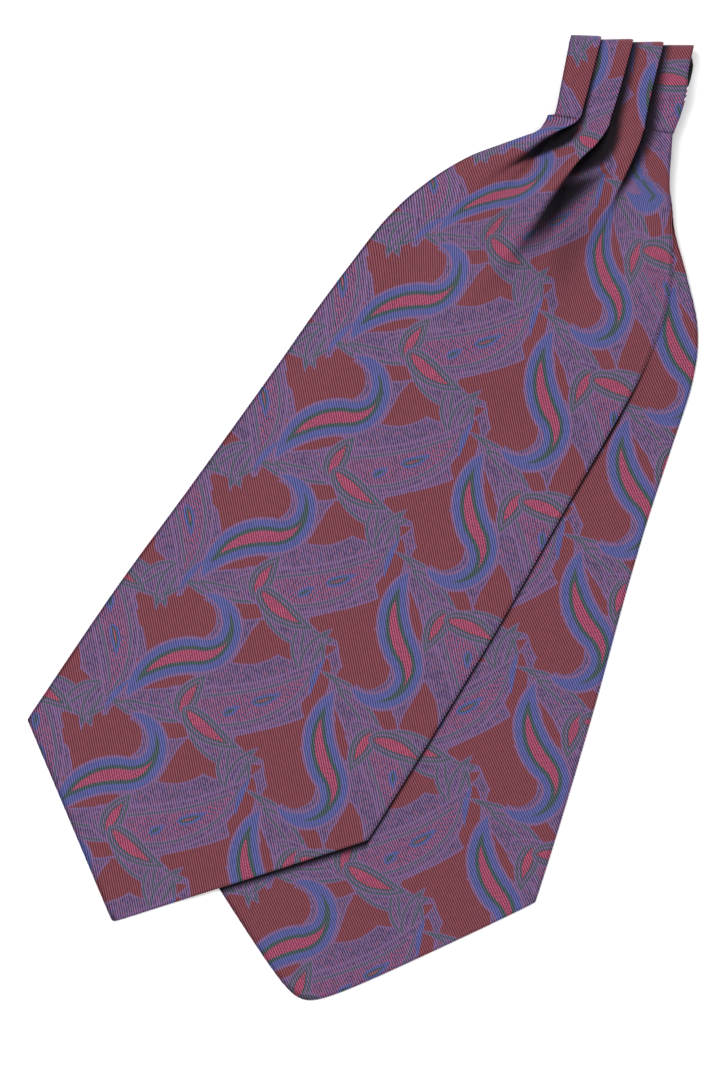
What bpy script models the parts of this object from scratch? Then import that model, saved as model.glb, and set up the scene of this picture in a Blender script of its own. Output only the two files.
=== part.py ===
"""A pleated silk day cravat, laid flat: two pointed blades, and a pleated neck band tucked under them.

Metres, +Z up. The cravat lies on z = 0, with its neck towards +Y and its tips towards -Y.
Tables are in millimetres and degrees, and MM turns them into metres.
"""

import math

import bmesh
import bpy
import numpy as np

MM = 0.001

# The cloth, and how close its layers lie
CLOTH = 1.0
GAP = 0.3
LAYER = CLOTH + GAP

# The neck: where its centre lies when its stitched pleats end, and how it leans from +Y towards +X
NECK_X = 112.85
NECK_Y = 178.4
NECK_LEAN = 14.3
NECK_TILT = 5.04

# The pleated neck band. It shows from the end of its stitching to the fold at its top
BAND_SHOWN = 40.8
BAND_HALF_WIDTH = 28.0
FOLD_RADIUS = 4.8
FOLD_CENTRE_HEIGHT = FOLD_RADIUS + CLOTH / 2
FOLD_STARTS = BAND_SHOWN - FOLD_RADIUS - CLOTH / 2
PLEAT_RISE = 3.9

# The rest of the neck band, doubled and tucked under the blades
TUCK_THICKNESS = 3.4
TUCK_BELOW_NECK = 103.0
TUCK_CORNER = 0.75
TUCK_GROOVE_DEPTH = 2.0
TUCK_GROOVE_HEIGHT = 0.3
TUCK_ROUND_END = 14.0
DRAPE_REACH = 46.0
STEP_REACH = 24.0
STEP_MARGIN = 7.0

# The two blades, each from the end of the stitched pleats to its tip
FRONT = {"lean": 32.04, "tip": 427.0, "left_corner": 370.0, "right_corner": 334.4, "flat_from": 155.0,
         "rounding": 0.025}
BACK = {"lean": 19.45, "tip": 421.6, "left_corner": 363.5, "right_corner": 345.0, "flat_from": 160.0,
        "rounding": 0.110}

# The front piece at its sections. down is the distance below the neck, negative up the band, and turn is the
# section's angle to the blade. left and right are its edges. crest and valley place the three pleats' folds.
# lift_left, rise_1 to rise_3 and lift_right are heights above what the cloth lies on.
FRONT_COLUMNS = (
    "down turn left right crest_1 valley_1 crest_2 valley_2 crest_3 valley_3 "
    "lift_left rise_1 rise_2 rise_3 lift_right"
).split()
FRONT_SECTIONS = (
    (-40.0, 27.0, -28.0, 28.0, -14.2, -20.0, 0.4, -6.4, 14.2, 7.4, 2.6, 3.9, 3.9, 3.9, 3.1),
    (-20.0, 27.0, -27.0, 28.2, -14.2, -20.0, 0.0, -6.8, 14.2, 7.4, 2.6, 3.9, 3.9, 3.9, 3.1),
    (-3.0, 25.9, -25.9, 28.6, -14.3, -20.0, -0.8, -7.6, 14.9, 8.0, 2.6, 3.9, 3.9, 3.9, 3.1),
    (-1.0, 25.4, -26.6, 28.8, -15.0, -20.4, -0.7, -7.5, 15.3, 8.6, 2.5, 4.0, 4.0, 3.9, 3.1),
    (1.0, 25.4, -26.6, 28.8, -15.0, -20.4, -0.7, -7.5, 15.3, 8.6, 2.5, 4.0, 4.0, 3.9, 3.1),
    (3.0, 24.8, -27.9, 29.6, -16.6, -20.9, -0.5, -7.3, 15.9, 9.4, 2.5, 4.7, 4.6, 4.2, 2.9),
    (6.0, 24.6, -29.2, 31.0, -19.6, -21.3, -0.5, -7.0, 16.7, 10.8, 2.8, 5.8, 5.6, 4.8, 2.7),
    (11.0, 24.2, -32.5, 33.4, -23.8, -22.2, -1.2, -6.8, 17.5, 12.6, 3.0, 6.6, 7.2, 5.4, 2.2),
    (19.0, 23.4, -42.3, 37.2, -28.6, -23.4, -3.8, -6.2, 18.6, 15.2, 2.4, 6.2, 8.4, 5.0, 1.5),
    (26.0, 22.5, -49.9, 41.0, -31.8, -24.4, -5.0, -5.0, 19.3, 17.8, 1.7, 4.8, 8.6, 4.0, 1.0),
    (35.0, 21.3, -55.8, 46.6, -35.4, -26.4, -6.0, -2.8, 20.2, 21.2, 1.0, 2.8, 8.0, 2.6, 0.5),
    (45.0, 19.9, -60.3, 52.8, -38.6, -28.8, -6.0, -0.4, 22.0, 25.0, 0.5, 1.4, 6.6, 1.3, 0.2),
    (62.0, 17.0, -64.7, 62.4, -42.2, -32.4, -4.2, 3.6, 25.4, 31.2, 0.1, 0.4, 3.8, 0.4, 0.0),
    (80.0, 13.8, -66.7, 69.3, -45.0, -35.2, -4.0, 5.0, 28.4, 36.4, 0.0, 0.0, 1.5, 0.0, 0.0),
    (105.0, 9.0, -67.5, 73.0, -48.0, -38.0, -6.5, 4.2, 31.4, 41.4, 0.0, 0.0, 0.3, 0.0, 0.0),
    (132.0, 3.8, -68.6, 74.0, -50.0, -39.0, -8.5, 2.6, 33.0, 44.0, 0.0, 0.0, 0.0, 0.0, 0.0),
    (155.0, 0.0, -69.5, 74.8, -50.6, -39.4, -8.6, 2.5, 33.4, 44.4, 0.0, 0.0, 0.0, 0.0, 0.0),
    (237.0, 0.0, -74.5, 78.0, -54.2, -42.3, -9.3, 2.5, 35.0, 46.6, 0.0, 0.0, 0.0, 0.0, 0.0),
    (304.0, 0.0, -79.2, 78.7, -57.6, -45.0, -10.0, 2.5, 35.4, 47.0, 0.0, 0.0, 0.0, 0.0, 0.0),
    (370.0, 0.0, -81.5, 78.9, -59.3, -46.3, -10.3, 2.5, 35.5, 47.2, 0.0, 0.0, 0.0, 0.0, 0.0),
)
FRONT_STATIONS = (0.15, 1, 2.2, 3.6, 5.2, 7.2, 9.4, 12, 15, 19, 23, 28, 34, 41, 50, 62, 76, 92, 105, 118, 130, 142, 155)
FRONT_END_STEPS = 13
BAND_STATIONS = (-0.15, -1, -3, -8, -16, -25)
FOLD_STEPS = 9

# The back piece, which lies plain where it is hidden: the same first columns, with no pleats
BACK_COLUMNS = "down turn left right".split()
BACK_SECTIONS = (
    (-40.0, 13.2, -24.6, 26.4),
    (0.0, 12.6, -24.6, 27.4),
    (11.0, 12.5, -27.6, 30.4),
    (22.0, 12.3, -33.6, 33.8),
    (32.0, 11.7, -38.6, 38.6),
    (43.0, 10.7, -44.6, 43.6),
    (61.5, 8.6, -55.0, 56.0),
    (82.0, 6.0, -63.6, 68.8),
    (94.0, 4.5, -66.2, 72.7),
    (109.0, 2.8, -67.8, 74.6),
    (135.0, 0.8, -68.9, 75.0),
    (160.0, 0.0, -69.6, 75.5),
    (190.0, 0.0, -71.2, 76.9),
    (258.0, 0.0, -76.0, 81.6),
    (330.0, 0.0, -80.6, 85.0),
    (364.0, 0.0, -82.0, 85.8),
)
BACK_STATIONS = (-32.9, -16, 0, 11, 22, 32, 43, 52, 61.5, 71, 82, 94, 105, 116, 127, 138, 149, 160)
BACK_END_STEPS = 9
BACK_COLUMNS_ACROSS = 22

SPLINE_STEPS = 2
FOLD_DROP = 2.2
CORNER_LEAD = 3.0

SILK_VIOLET = (0.165, 0.094, 0.165, 1.0)
SILK_MAROON = (0.150, 0.050, 0.062, 1.0)
SILK_ROUGHNESS = 0.45


def smooth(value):
    """0 to 1 with a soft start and end, for a value from 0 to 1."""
    value = min(1.0, max(0.0, value))
    return value * value * (3 - 2 * value)


def slopes_of(places, values):
    """Slopes for a curve through the values that never overshoots them."""
    steps = np.diff(values) / np.diff(places)
    slopes = np.zeros(len(values))
    slopes[0] = steps[0]
    slopes[-1] = steps[-1]
    for i in range(1, len(steps)):
        if steps[i - 1] * steps[i] > 0:
            slopes[i] = 2 * steps[i - 1] * steps[i] / (steps[i - 1] + steps[i])
    return slopes


def section_at(columns, sections, down):
    """One section of a table at any distance below the neck, as a dictionary of its columns."""
    table = np.array(sections, float)
    places = table[:, 0]
    down = min(max(down, places[0]), places[-1])
    i = min(int(np.searchsorted(places, down, side="right")) - 1, len(places) - 2)
    width = places[i + 1] - places[i]
    t = (down - places[i]) / width
    found = {}
    for column, name in enumerate(columns):
        values = table[:, column]
        slopes = slopes_of(places, values)
        found[name] = (
            (2 * t**3 - 3 * t**2 + 1) * values[i]
            + (t**3 - 2 * t**2 + t) * width * slopes[i]
            + (3 * t**2 - 2 * t**3) * values[i + 1]
            + (t**3 - t**2) * width * slopes[i + 1]
        )
    return found


def spine(lean, down):
    """The point on a piece's centre line, this far below the neck, or above it where down is negative."""
    angle = math.radians(lean if down >= 0 else NECK_LEAN)
    return NECK_X - down * math.sin(angle), NECK_Y - down * math.cos(angle)


def across(centre, tilt, side):
    """A point on a section: side is the distance from its centre to the right, and tilt turns it clockwise."""
    angle = math.radians(tilt)
    return centre[0] + side * math.cos(angle), centre[1] - side * math.sin(angle)


def on_blade(lean, x, y):
    """(distance below the neck, distance to the right) of a point, along a blade of this lean."""
    angle = math.radians(lean)
    dx = x - NECK_X
    dy = y - NECK_Y
    return -dx * math.sin(angle) - dy * math.cos(angle), dx * math.cos(angle) - dy * math.sin(angle)


def end_of(blade, side, half_left, half_right):
    """How far below the neck the blade's pointed end lies at this distance from its centre."""
    corner, half = (blade["left_corner"], -half_left) if side < 0 else (blade["right_corner"], half_right)
    soft = blade["rounding"]
    rounded = (math.hypot(side / half, soft) - soft) / (math.hypot(1.0, soft) - soft)
    return blade["tip"] - (blade["tip"] - corner) * min(1.0, rounded)


def over_tuck(x, y):
    """1 over the tucked neck band, falling softly to 0 around it."""
    down, side = on_blade(NECK_LEAN, x, y)
    outside = math.hypot(max(0.0, down - TUCK_BELOW_NECK), max(0.0, abs(side) - BAND_HALF_WIDTH - GAP))
    return 1 - smooth(outside / DRAPE_REACH)


def over_back(x, y):
    """1 over the back blade, falling softly to 0 past its left edge and its pointed end."""
    down, side = on_blade(BACK["lean"], x, y)
    edges = section_at(BACK_COLUMNS, BACK_SECTIONS, max(down, 0.0))
    past_edge = edges["left"] - side
    past_end = down - end_of(BACK, min(max(side, edges["left"]), 0.0), edges["left"], edges["right"])
    outside = max(past_edge, past_end) - STEP_MARGIN
    return 1 - smooth(outside / STEP_REACH)


def back_rest(x, y):
    """Height of the middle of the back piece's cloth, over the surface and the tucked band."""
    return CLOTH / 2 + (TUCK_THICKNESS + GAP) * over_tuck(x, y)


def front_rest(x, y, down):
    """Height of the middle of the front piece's lowest cloth, over the back piece. The band rises to its fold."""
    climb = FOLD_CENTRE_HEIGHT + FOLD_RADIUS - PLEAT_RISE - (2.5 * CLOTH + TUCK_THICKNESS + 2 * GAP)
    return back_rest(x, y) + LAYER * over_back(x, y) + (climb + CLOTH) * smooth(-down / FOLD_STARTS)


def spline(points, steps):
    """Points along a smooth curve that follows a list of points and ends on its first and last."""
    first = [2 * a - b for a, b in zip(points[0], points[1])]
    last = [2 * a - b for a, b in zip(points[-1], points[-2])]
    guide = np.array([first, *points, last], float)
    found = []
    for i in range(1, len(guide) - 2):
        for step in range(steps):
            t = step / steps
            weights = ((1 - t) ** 3, 3 * t**3 - 6 * t**2 + 4, -3 * t**3 + 3 * t**2 + 3 * t + 1, t**3)
            found.append(sum(w * guide[i - 1 + n] for n, w in enumerate(weights)) / 6)
    found.append(guide[-2])
    return found


def fold_guide(crest, valley, top, low, slope_in, slope_out):
    """Guide points of one pleat's fold: over its crest, back under it, and out of its valley."""
    spread = min(4.0, max(0.0, 0.35 * (valley - crest)))
    drop = min(FOLD_DROP, 0.47 * max(0.0, top - low))
    lead = CORNER_LEAD - spread / 4
    return [
        (crest - spread / 2 - lead, top - slope_in * lead),
        (crest - spread / 2, top),
        (crest + spread / 2, top - drop),
        ((crest + valley) / 2, (top + low) / 2),
        (valley - spread / 2, low + drop),
        (valley + spread / 2, low),
        (valley + spread / 2 + lead, low + slope_out * lead),
    ]


def front_guide(row):
    """Guide points of the front piece's section, as (side, height above what it lies on)."""
    crests = [row[f"crest_{n}"] for n in (1, 2, 3)]
    valleys = [row[f"valley_{n}"] for n in (1, 2, 3)]
    rises = [row[f"rise_{n}"] for n in (1, 2, 3)]
    starts = [(row["left"], row["lift_left"])] + [(side, 0.0) for side in valleys]
    ends = list(zip(crests, rises)) + [(row["right"], row["lift_right"])]
    slopes = [(b[1] - a[1]) / (b[0] - a[0]) for a, b in zip(starts, ends)]
    guide = [starts[0]]
    for n in range(3):
        fold = fold_guide(crests[n], valleys[n], rises[n], 0.0, slopes[n], slopes[n + 1])
        guide.append(tuple((a + b) / 2 for a, b in zip(guide[-1], fold[0])))
        guide += fold
    guide.append(tuple((a + b) / 2 for a, b in zip(guide[-1], ends[-1])))
    guide.append(ends[-1])
    return guide


def front_row(down):
    """Points across the front piece at one section."""
    row = section_at(FRONT_COLUMNS, FRONT_SECTIONS, down)
    centre = spine(FRONT["lean"], down)
    points = []
    for side, height in spline(front_guide(row), SPLINE_STEPS):
        x, y = across(centre, FRONT["lean"] - row["turn"], side)
        points.append((x, y, front_rest(x, y, down) + height))
    return points


def end_rows(blade, columns, sections, sides_at, rest, steps):
    """Rows from the last straight section of a blade to its pointed end."""
    rows = []
    for step in range(1, steps + 1):
        share = step / steps
        row = []
        for part in sides_at:
            start = section_at(columns, sections, blade["flat_from"])
            side = part * (start["right"] if part > 0 else -start["left"])
            down = blade["flat_from"]
            for _ in range(3):
                end = end_of(blade, side, *edges_at(columns, sections, down))
                down = blade["flat_from"] + (end - blade["flat_from"]) * share
                left, right = edges_at(columns, sections, down)
                side = part * (right if part > 0 else -left)
            centre = spine(blade["lean"], down)
            x, y = across(centre, blade["lean"], side)
            row.append((x, y, rest(x, y, down)))
        rows.append(row)
    return rows


def edges_at(columns, sections, down):
    """The left and right edges of a piece at this distance below the neck."""
    row = section_at(columns, sections, down)
    return row["left"], row["right"]


def shares_across(row, lean):
    """Each point of a straight row as its share of the way from the centre to the row's own edge."""
    sides = [on_blade(lean, x, y)[1] for x, y, _ in row]
    return [side / (sides[-1] if side > 0 else -sides[0]) for side in sides]


def front_blade_rows():
    """The front blade: its flare, where the pleats open, and its flat length down to the point."""
    rows = [front_row(down) for down in FRONT_STATIONS]
    shares = shares_across(rows[-1], FRONT["lean"])
    rows += end_rows(FRONT, FRONT_COLUMNS, FRONT_SECTIONS, shares, front_rest, FRONT_END_STEPS)
    return rows


def band_rows():
    """The pleated neck band: its shown run, and the fold that takes it over and under."""
    rows = [front_row(down) for down in BAND_STATIONS]
    last = front_row(-FOLD_STARTS)
    up = math.radians(NECK_LEAN)
    for step in range(FOLD_STEPS + 1):
        angle = math.pi * step / FOLD_STEPS
        row = []
        for x, y, z in last:
            radius = z - FOLD_CENTRE_HEIGHT
            reach = radius * math.sin(angle)
            height = FOLD_CENTRE_HEIGHT + radius * math.cos(angle)
            row.append((x + reach * math.sin(up), y + reach * math.cos(up), height))
        rows.append(row)
    return rows


def back_blade_rows():
    """The back blade with its own end of the neck band, plain where the front piece hides it."""
    rows = []
    for down in BACK_STATIONS:
        section = section_at(BACK_COLUMNS, BACK_SECTIONS, down)
        tilt = NECK_TILT if down <= 0 else BACK["lean"] - section["turn"]
        row = []
        for column in range(BACK_COLUMNS_ACROSS + 1):
            share = 2 * column / BACK_COLUMNS_ACROSS - 1
            side = share * (section["right"] if share > 0 else -section["left"])
            x, y = across(spine(BACK["lean"], down), tilt, side)
            row.append((x, y, back_rest(x, y)))
        rows.append(row)
    shares = shares_across(rows[-1], BACK["lean"])
    rows += end_rows(
        BACK, BACK_COLUMNS, BACK_SECTIONS, shares, lambda x, y, down: back_rest(x, y), BACK_END_STEPS
    )
    return rows


# The tucked neck band at its sections, from its join under the fold to its doubled end
TUCK_COLUMNS = "down left right".split()
TUCK_SECTIONS = (
    (0.3 - FOLD_STARTS, -25.6, 28.4),
    (-30.0, -25.6, 29.8),
    (-25.0, -25.4, 30.6),
    (-19.0, -25.2, 31.0),
    (-12.0, -25.0, 30.8),
    (-6.0, -24.8, 29.2),
    (0.0, -24.8, 27.0),
    (25.0, -25.4, 26.0),
    (60.0, -26.0, 26.0),
    (TUCK_BELOW_NECK - TUCK_ROUND_END, -26.0, 26.0),
)
TUCK_END_STEPS = 5


def tuck_ring(left, right, thickness):
    """A ring round the doubled band: round corners, and a groove at each side between its two layers."""
    ring = []
    middle = thickness / 2
    corner = min(TUCK_CORNER, middle - TUCK_GROOVE_HEIGHT)
    for side, out in ((right, 1), (left, -1)):
        edge = [(side, middle + out * TUCK_GROOVE_HEIGHT / 2)]
        edge = [(side - out * TUCK_GROOVE_DEPTH, middle)]
        above = [(side, middle + TUCK_GROOVE_HEIGHT / 2)]
        below = [(side, middle - TUCK_GROOVE_HEIGHT / 2)]
        for turn in (0, 45, 90):
            angle = math.radians(turn)
            reach = corner * (1 - math.cos(angle))
            height = corner * (1 - math.sin(angle))
            above.append((side - out * reach, thickness - height))
            below.append((side - out * reach, height))
        half = list(reversed(above)) + edge + below
        ring += half if out > 0 else list(reversed(half))
    return ring


def tuck_rings():
    """Rings along the tucked band, in its own frame, with its doubled end rounded off."""
    rings = []
    for down, left, right in TUCK_SECTIONS:
        rings.append((down, tuck_ring(left, right, TUCK_THICKNESS)))
    start, left, right = TUCK_SECTIONS[-1]
    for step in range(1, TUCK_END_STEPS + 1):
        angle = math.radians(80 * step / TUCK_END_STEPS)
        narrow = 5.0 * (1 - math.cos(angle))
        thickness = TUCK_THICKNESS * (0.55 + 0.45 * math.cos(angle))
        rings.append(
            (
                start + TUCK_ROUND_END * math.sin(angle),
                tuck_ring(left + narrow, right - narrow, thickness),
            )
        )
    return rings


def silk(name, colour):
    """A plain silk colour."""
    material = bpy.data.materials.new(name)
    material.use_nodes = True
    shader = material.node_tree.nodes["Principled BSDF"]
    shader.inputs["Base Color"].default_value = colour
    shader.inputs["Roughness"].default_value = SILK_ROUGHNESS
    shader.inputs["Metallic"].default_value = 0.0
    material.diffuse_color = colour
    return material


def place(name, mesh, material, home):
    """Puts a mesh in the cravat's collection as an object of this name."""
    mesh.materials.append(material)
    mesh.shade_smooth()
    piece = bpy.data.objects.new(name, mesh)
    home.objects.link(piece)
    return piece


def add_cloth(name, rows, material, home):
    """A wall of cloth through rows of points: an open surface, made solid."""
    surface = bmesh.new()
    grid = [[surface.verts.new((x * MM, y * MM, z * MM)) for x, y, z in row] for row in rows]
    for upper, lower in zip(grid, grid[1:]):
        for i in range(len(upper) - 1):
            surface.faces.new((upper[i], lower[i], lower[i + 1], upper[i + 1]))
    mesh = bpy.data.meshes.new(name)
    surface.to_mesh(mesh)
    surface.free()
    piece = place(name, mesh, material, home)
    wall = piece.modifiers.new("Wall", "SOLIDIFY")
    wall.thickness = CLOTH * MM
    wall.offset = 0.0
    wall.use_rim = True
    return piece


def add_tuck(name, material, home):
    """The tucked part of the neck band, one solid lofted through its rings."""
    surface = bmesh.new()
    loops = []
    for down, ring in tuck_rings():
        centre = spine(NECK_LEAN, down)
        loop = []
        for side, height in ring:
            x, y = across(centre, NECK_TILT, side)
            loop.append(surface.verts.new((x * MM, y * MM, height * MM)))
        loops.append(loop)
    count = len(loops[0])
    for upper, lower in zip(loops, loops[1:]):
        for i in range(count):
            following = (i + 1) % count
            surface.faces.new((upper[i], upper[following], lower[following], lower[i]))
    surface.faces.new(list(reversed(loops[0])))
    surface.faces.new(loops[-1])
    bmesh.ops.recalc_face_normals(surface, faces=surface.faces)
    mesh = bpy.data.meshes.new(name)
    surface.to_mesh(mesh)
    surface.free()
    return place(name, mesh, material, home)


def build():
    """Clears the scene and makes the cravat's pieces."""
    for old in list(bpy.data.objects):
        bpy.data.objects.remove(old, do_unlink=True)
    home = bpy.data.collections.new("silk_cravat")
    bpy.context.scene.collection.children.link(home)
    violet = silk("printed silk", SILK_VIOLET)
    maroon = silk("silk in shade", SILK_MAROON)
    add_cloth("front_blade", front_blade_rows(), violet, home)
    add_cloth("neck_band_pleated", band_rows(), violet, home)
    add_cloth("back_blade", back_blade_rows(), violet, home)
    add_tuck("neck_band_tucked", maroon, home)


build()
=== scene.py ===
"""Looks of the pleated silk day cravat, laid flat and seen from straight above.

Tables are in millimetres and degrees, in the part's own frame, and MM turns them into metres.
"""

import math

import bpy
import numpy as np
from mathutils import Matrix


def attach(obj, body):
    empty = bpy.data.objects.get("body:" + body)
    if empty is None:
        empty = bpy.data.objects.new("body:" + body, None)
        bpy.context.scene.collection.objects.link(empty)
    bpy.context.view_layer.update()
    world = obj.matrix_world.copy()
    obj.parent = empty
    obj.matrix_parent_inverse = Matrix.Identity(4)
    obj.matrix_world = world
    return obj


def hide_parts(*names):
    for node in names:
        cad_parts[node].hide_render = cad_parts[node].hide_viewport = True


MM = 0.001

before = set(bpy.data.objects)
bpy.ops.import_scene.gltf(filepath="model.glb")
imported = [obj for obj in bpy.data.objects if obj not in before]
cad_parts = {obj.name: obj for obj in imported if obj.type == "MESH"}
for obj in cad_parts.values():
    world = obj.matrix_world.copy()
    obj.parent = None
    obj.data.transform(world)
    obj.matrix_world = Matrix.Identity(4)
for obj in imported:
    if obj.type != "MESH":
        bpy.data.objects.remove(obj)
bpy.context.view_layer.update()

# The photograph's frame: its scale in mm a pixel, its height in pixels, and where its middle lies on the part
PIXEL = 0.4558
PHOTO_HEIGHT = 1080
CAMERA_AT = (-1.14, -10.26)
CAMERA_HEIGHT = 2200.0
SENSOR = 36.0

# Cloth as it shows: thin in the pressed pleats, and fuller from this far below the neck, over this distance
BLADE_CLOTH = 0.85
BAND_CLOTH = 0.45
FULLER_FROM = 4.0
FULLER_OVER = 50.0

# The rounded rim of the cloth: the turns of its points, how far it stands out for half a cloth, and how much
# lighter than the cloth it is painted, a painted highlight where the rolled edge catches the light
RIM_TURNS = (67.5, 22.5, -22.5, -67.5)
RIM_REACH = 0.8
RIM_PAINTED_LIGHT = 1.5

# The bake map: its margin, the share of it for the two faces, the gap between them, and the strip for the rim
BAKE_MARGIN = 0.01
BAKE_FACES = 0.96
BAKE_TWO_WIDE = 2.2
BAKE_GAP = 1.05
BAKE_RIM_FROM = 0.972
BAKE_RIM_WIDE = 0.02
BAKE_RIM_LONG = 0.97

# The same sizes as the solid construction
CLOTH = 1.0
GAP = 0.3
LAYER = CLOTH + GAP
NECK_X = 112.85
NECK_Y = 178.4
NECK_LEAN = 14.3
NECK_TILT = 5.04
BAND_SHOWN = 40.8
BAND_HALF_WIDTH = 28.0
FOLD_RADIUS = 4.8
FOLD_CENTRE_HEIGHT = FOLD_RADIUS + CLOTH / 2
FOLD_STARTS = BAND_SHOWN - FOLD_RADIUS - CLOTH / 2
PLEAT_RISE = 2.3
TUCK_THICKNESS = 3.4
TUCK_BELOW_NECK = 103.0
TUCK_GROOVE_DEPTH = 2.0
TUCK_GROOVE_HEIGHT = 0.3
TUCK_CORNER = 0.75
TUCK_CORNER_STEP = 15
TUCK_ROUND_END = 14.0
TUCK_END_TURN = 80.0
TUCK_END_STEPS = 12
TUCK_END_NARROWS = 5.0
TUCK_END_THINS = 0.45
TUCK_STEPS = 60
DRAPE_REACH = 46.0
STEP_REACH = 24.0
STEP_MARGIN = 7.0
FRONT = {"lean": 32.04, "tip": 427.0, "left_corner": 370.0, "right_corner": 334.4, "flat_from": 155.0,
         "rounding": 0.010}
BACK = {"lean": 19.45, "tip": 421.6, "left_corner": 363.5, "right_corner": 345.0, "flat_from": 160.0,
        "rounding": 0.110}

# The front piece at its sections, as in the solid construction, with its pleats pressed thinner
FRONT_COLUMNS = (
    "down turn left right crest_1 valley_1 crest_2 valley_2 crest_3 valley_3 "
    "lift_left rise_1 rise_2 rise_3 lift_right"
).split()
FRONT_SECTIONS = (
    (-40.0, 27.0, -28.0, 28.0, -14.2, -20.0, 0.4, -6.4, 14.2, 7.4, 1.6, 2.3, 2.3, 2.3, 1.9),
    (-30.0, 27.0, -27.5, 27.9, -14.2, -20.0, 0.2, -6.6, 14.2, 7.4, 1.6, 2.3, 2.3, 2.3, 1.9),
    (-23.0, 27.0, -27.1, 29.0, -14.2, -20.0, 0.1, -6.8, 14.2, 7.4, 1.6, 2.3, 2.3, 2.3, 1.9),
    (-16.0, 26.8, -26.7, 30.2, -14.2, -20.0, -0.1, -7.0, 14.3, 7.5, 1.6, 2.3, 2.3, 2.3, 1.9),
    (-7.0, 26.3, -26.1, 29.8, -14.3, -20.0, -0.6, -7.4, 14.7, 7.8, 1.6, 2.3, 2.3, 2.3, 1.9),
    (-3.0, 25.9, -26.0, 29.2, -14.3, -20.0, -0.8, -7.6, 14.9, 8.0, 1.6, 2.4, 2.4, 2.3, 1.9),
    (-1.8, 25.6, -26.2, 29.0, -14.6, -20.2, -0.8, -7.5, 15.1, 8.3, 1.5, 2.4, 2.4, 2.3, 1.9),
    (-0.8, 25.4, -29.1, 28.9, -15.1, -20.4, -0.7, -7.5, 15.3, 8.6, 2.4, 3.2, 2.6, 2.4, 1.6),
    (1.0, 25.2, -28.9, 28.8, -15.8, -20.6, -0.6, -7.5, 15.5, 8.8, 2.6, 3.5, 2.9, 2.6, 2.3),
    (3.0, 24.8, -28.6, 29.6, -17.2, -21.0, -0.5, -7.3, 15.9, 9.4, 2.8, 4.4, 3.8, 3.2, 2.4),
    (6.0, 24.6, -28.6, 31.0, -20.2, -21.4, -0.5, -7.0, 16.7, 10.8, 3.0, 5.8, 5.2, 4.4, 2.3),
    (9.0, 24.4, -30.0, 32.4, -22.8, -21.9, -0.9, -6.9, 17.2, 11.9, 3.1, 6.5, 6.4, 5.0, 2.3),
    (11.0, 24.2, -32.5, 33.4, -24.4, -22.2, -1.2, -6.8, 17.5, 12.6, 3.0, 6.8, 7.2, 5.4, 2.2),
    (19.0, 23.4, -42.3, 37.2, -28.6, -23.4, -3.8, -6.2, 18.6, 15.2, 2.4, 6.2, 8.4, 5.0, 1.5),
    (26.0, 22.5, -49.9, 41.0, -31.8, -24.4, -5.0, -5.0, 19.3, 17.8, 1.7, 4.8, 8.6, 4.0, 1.0),
    (35.0, 21.3, -55.8, 46.6, -35.4, -26.4, -6.0, -2.8, 20.2, 21.2, 1.0, 2.8, 8.0, 2.6, 0.5),
    (45.0, 19.9, -60.3, 52.8, -38.6, -28.8, -6.8, -0.8, 22.0, 25.0, 0.5, 1.4, 6.6, 1.3, 0.2),
    (62.0, 17.0, -64.7, 62.4, -42.2, -32.4, -7.4, 2.0, 25.4, 31.2, 0.1, 0.4, 4.6, 0.4, 0.0),
    (80.0, 13.8, -66.7, 69.3, -45.0, -35.2, -8.2, 3.4, 28.4, 36.4, 0.0, 0.0, 2.4, 0.0, 0.0),
    (105.0, 9.0, -67.5, 73.0, -48.0, -38.0, -9.0, 3.2, 31.4, 41.4, 0.0, 0.0, 0.8, 0.0, 0.0),
    (132.0, 3.8, -68.6, 74.0, -50.0, -39.0, -8.5, 2.6, 33.0, 44.0, 0.0, 0.0, 0.0, 0.0, 0.0),
    (155.0, 0.0, -69.5, 74.8, -50.6, -39.4, -8.6, 2.5, 33.4, 44.4, 0.0, 0.0, 0.0, 0.0, 0.0),
    (237.0, 0.0, -74.5, 78.0, -54.2, -42.3, -9.3, 2.5, 35.0, 46.6, 0.0, 0.0, 0.0, 0.0, 0.0),
    (304.0, 0.0, -79.2, 78.7, -57.6, -45.0, -10.0, 2.5, 35.4, 47.0, 0.0, 0.0, 0.0, 0.0, 0.0),
    (370.0, 0.0, -81.5, 78.9, -59.3, -46.3, -10.3, 2.5, 35.5, 47.2, 0.0, 0.0, 0.0, 0.0, 0.0),
)
# Distances below the neck where the front piece's rows lie: (from, to, step)
FRONT_SPACING = ((-FOLD_STARTS, -4.0, 1.6), (-4.0, 30.0, 0.75), (30.0, 80.0, 1.6), (80.0, 155.0, 3.0))
FRONT_END_STEPS = 74
FOLD_STEPS = 22
SPLINE_STEPS = 5
END_ROUNDS = 4

# A pleat's fold: guide points before its corner, its drop there, and the most that it spreads and drops
CORNER_LEAD = 3.0
FOLD_DROP = 2.2
FOLD_DROP_SHARE = 0.47
FOLD_SPREAD = 4.0
FOLD_SPREAD_SHARE = 0.35

# Where the three crests come in a row's guide, counted in its points, and how many more its fold has
CREST_GUIDES = (3, 11, 19)
FOLD_GUIDES = 7

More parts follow.
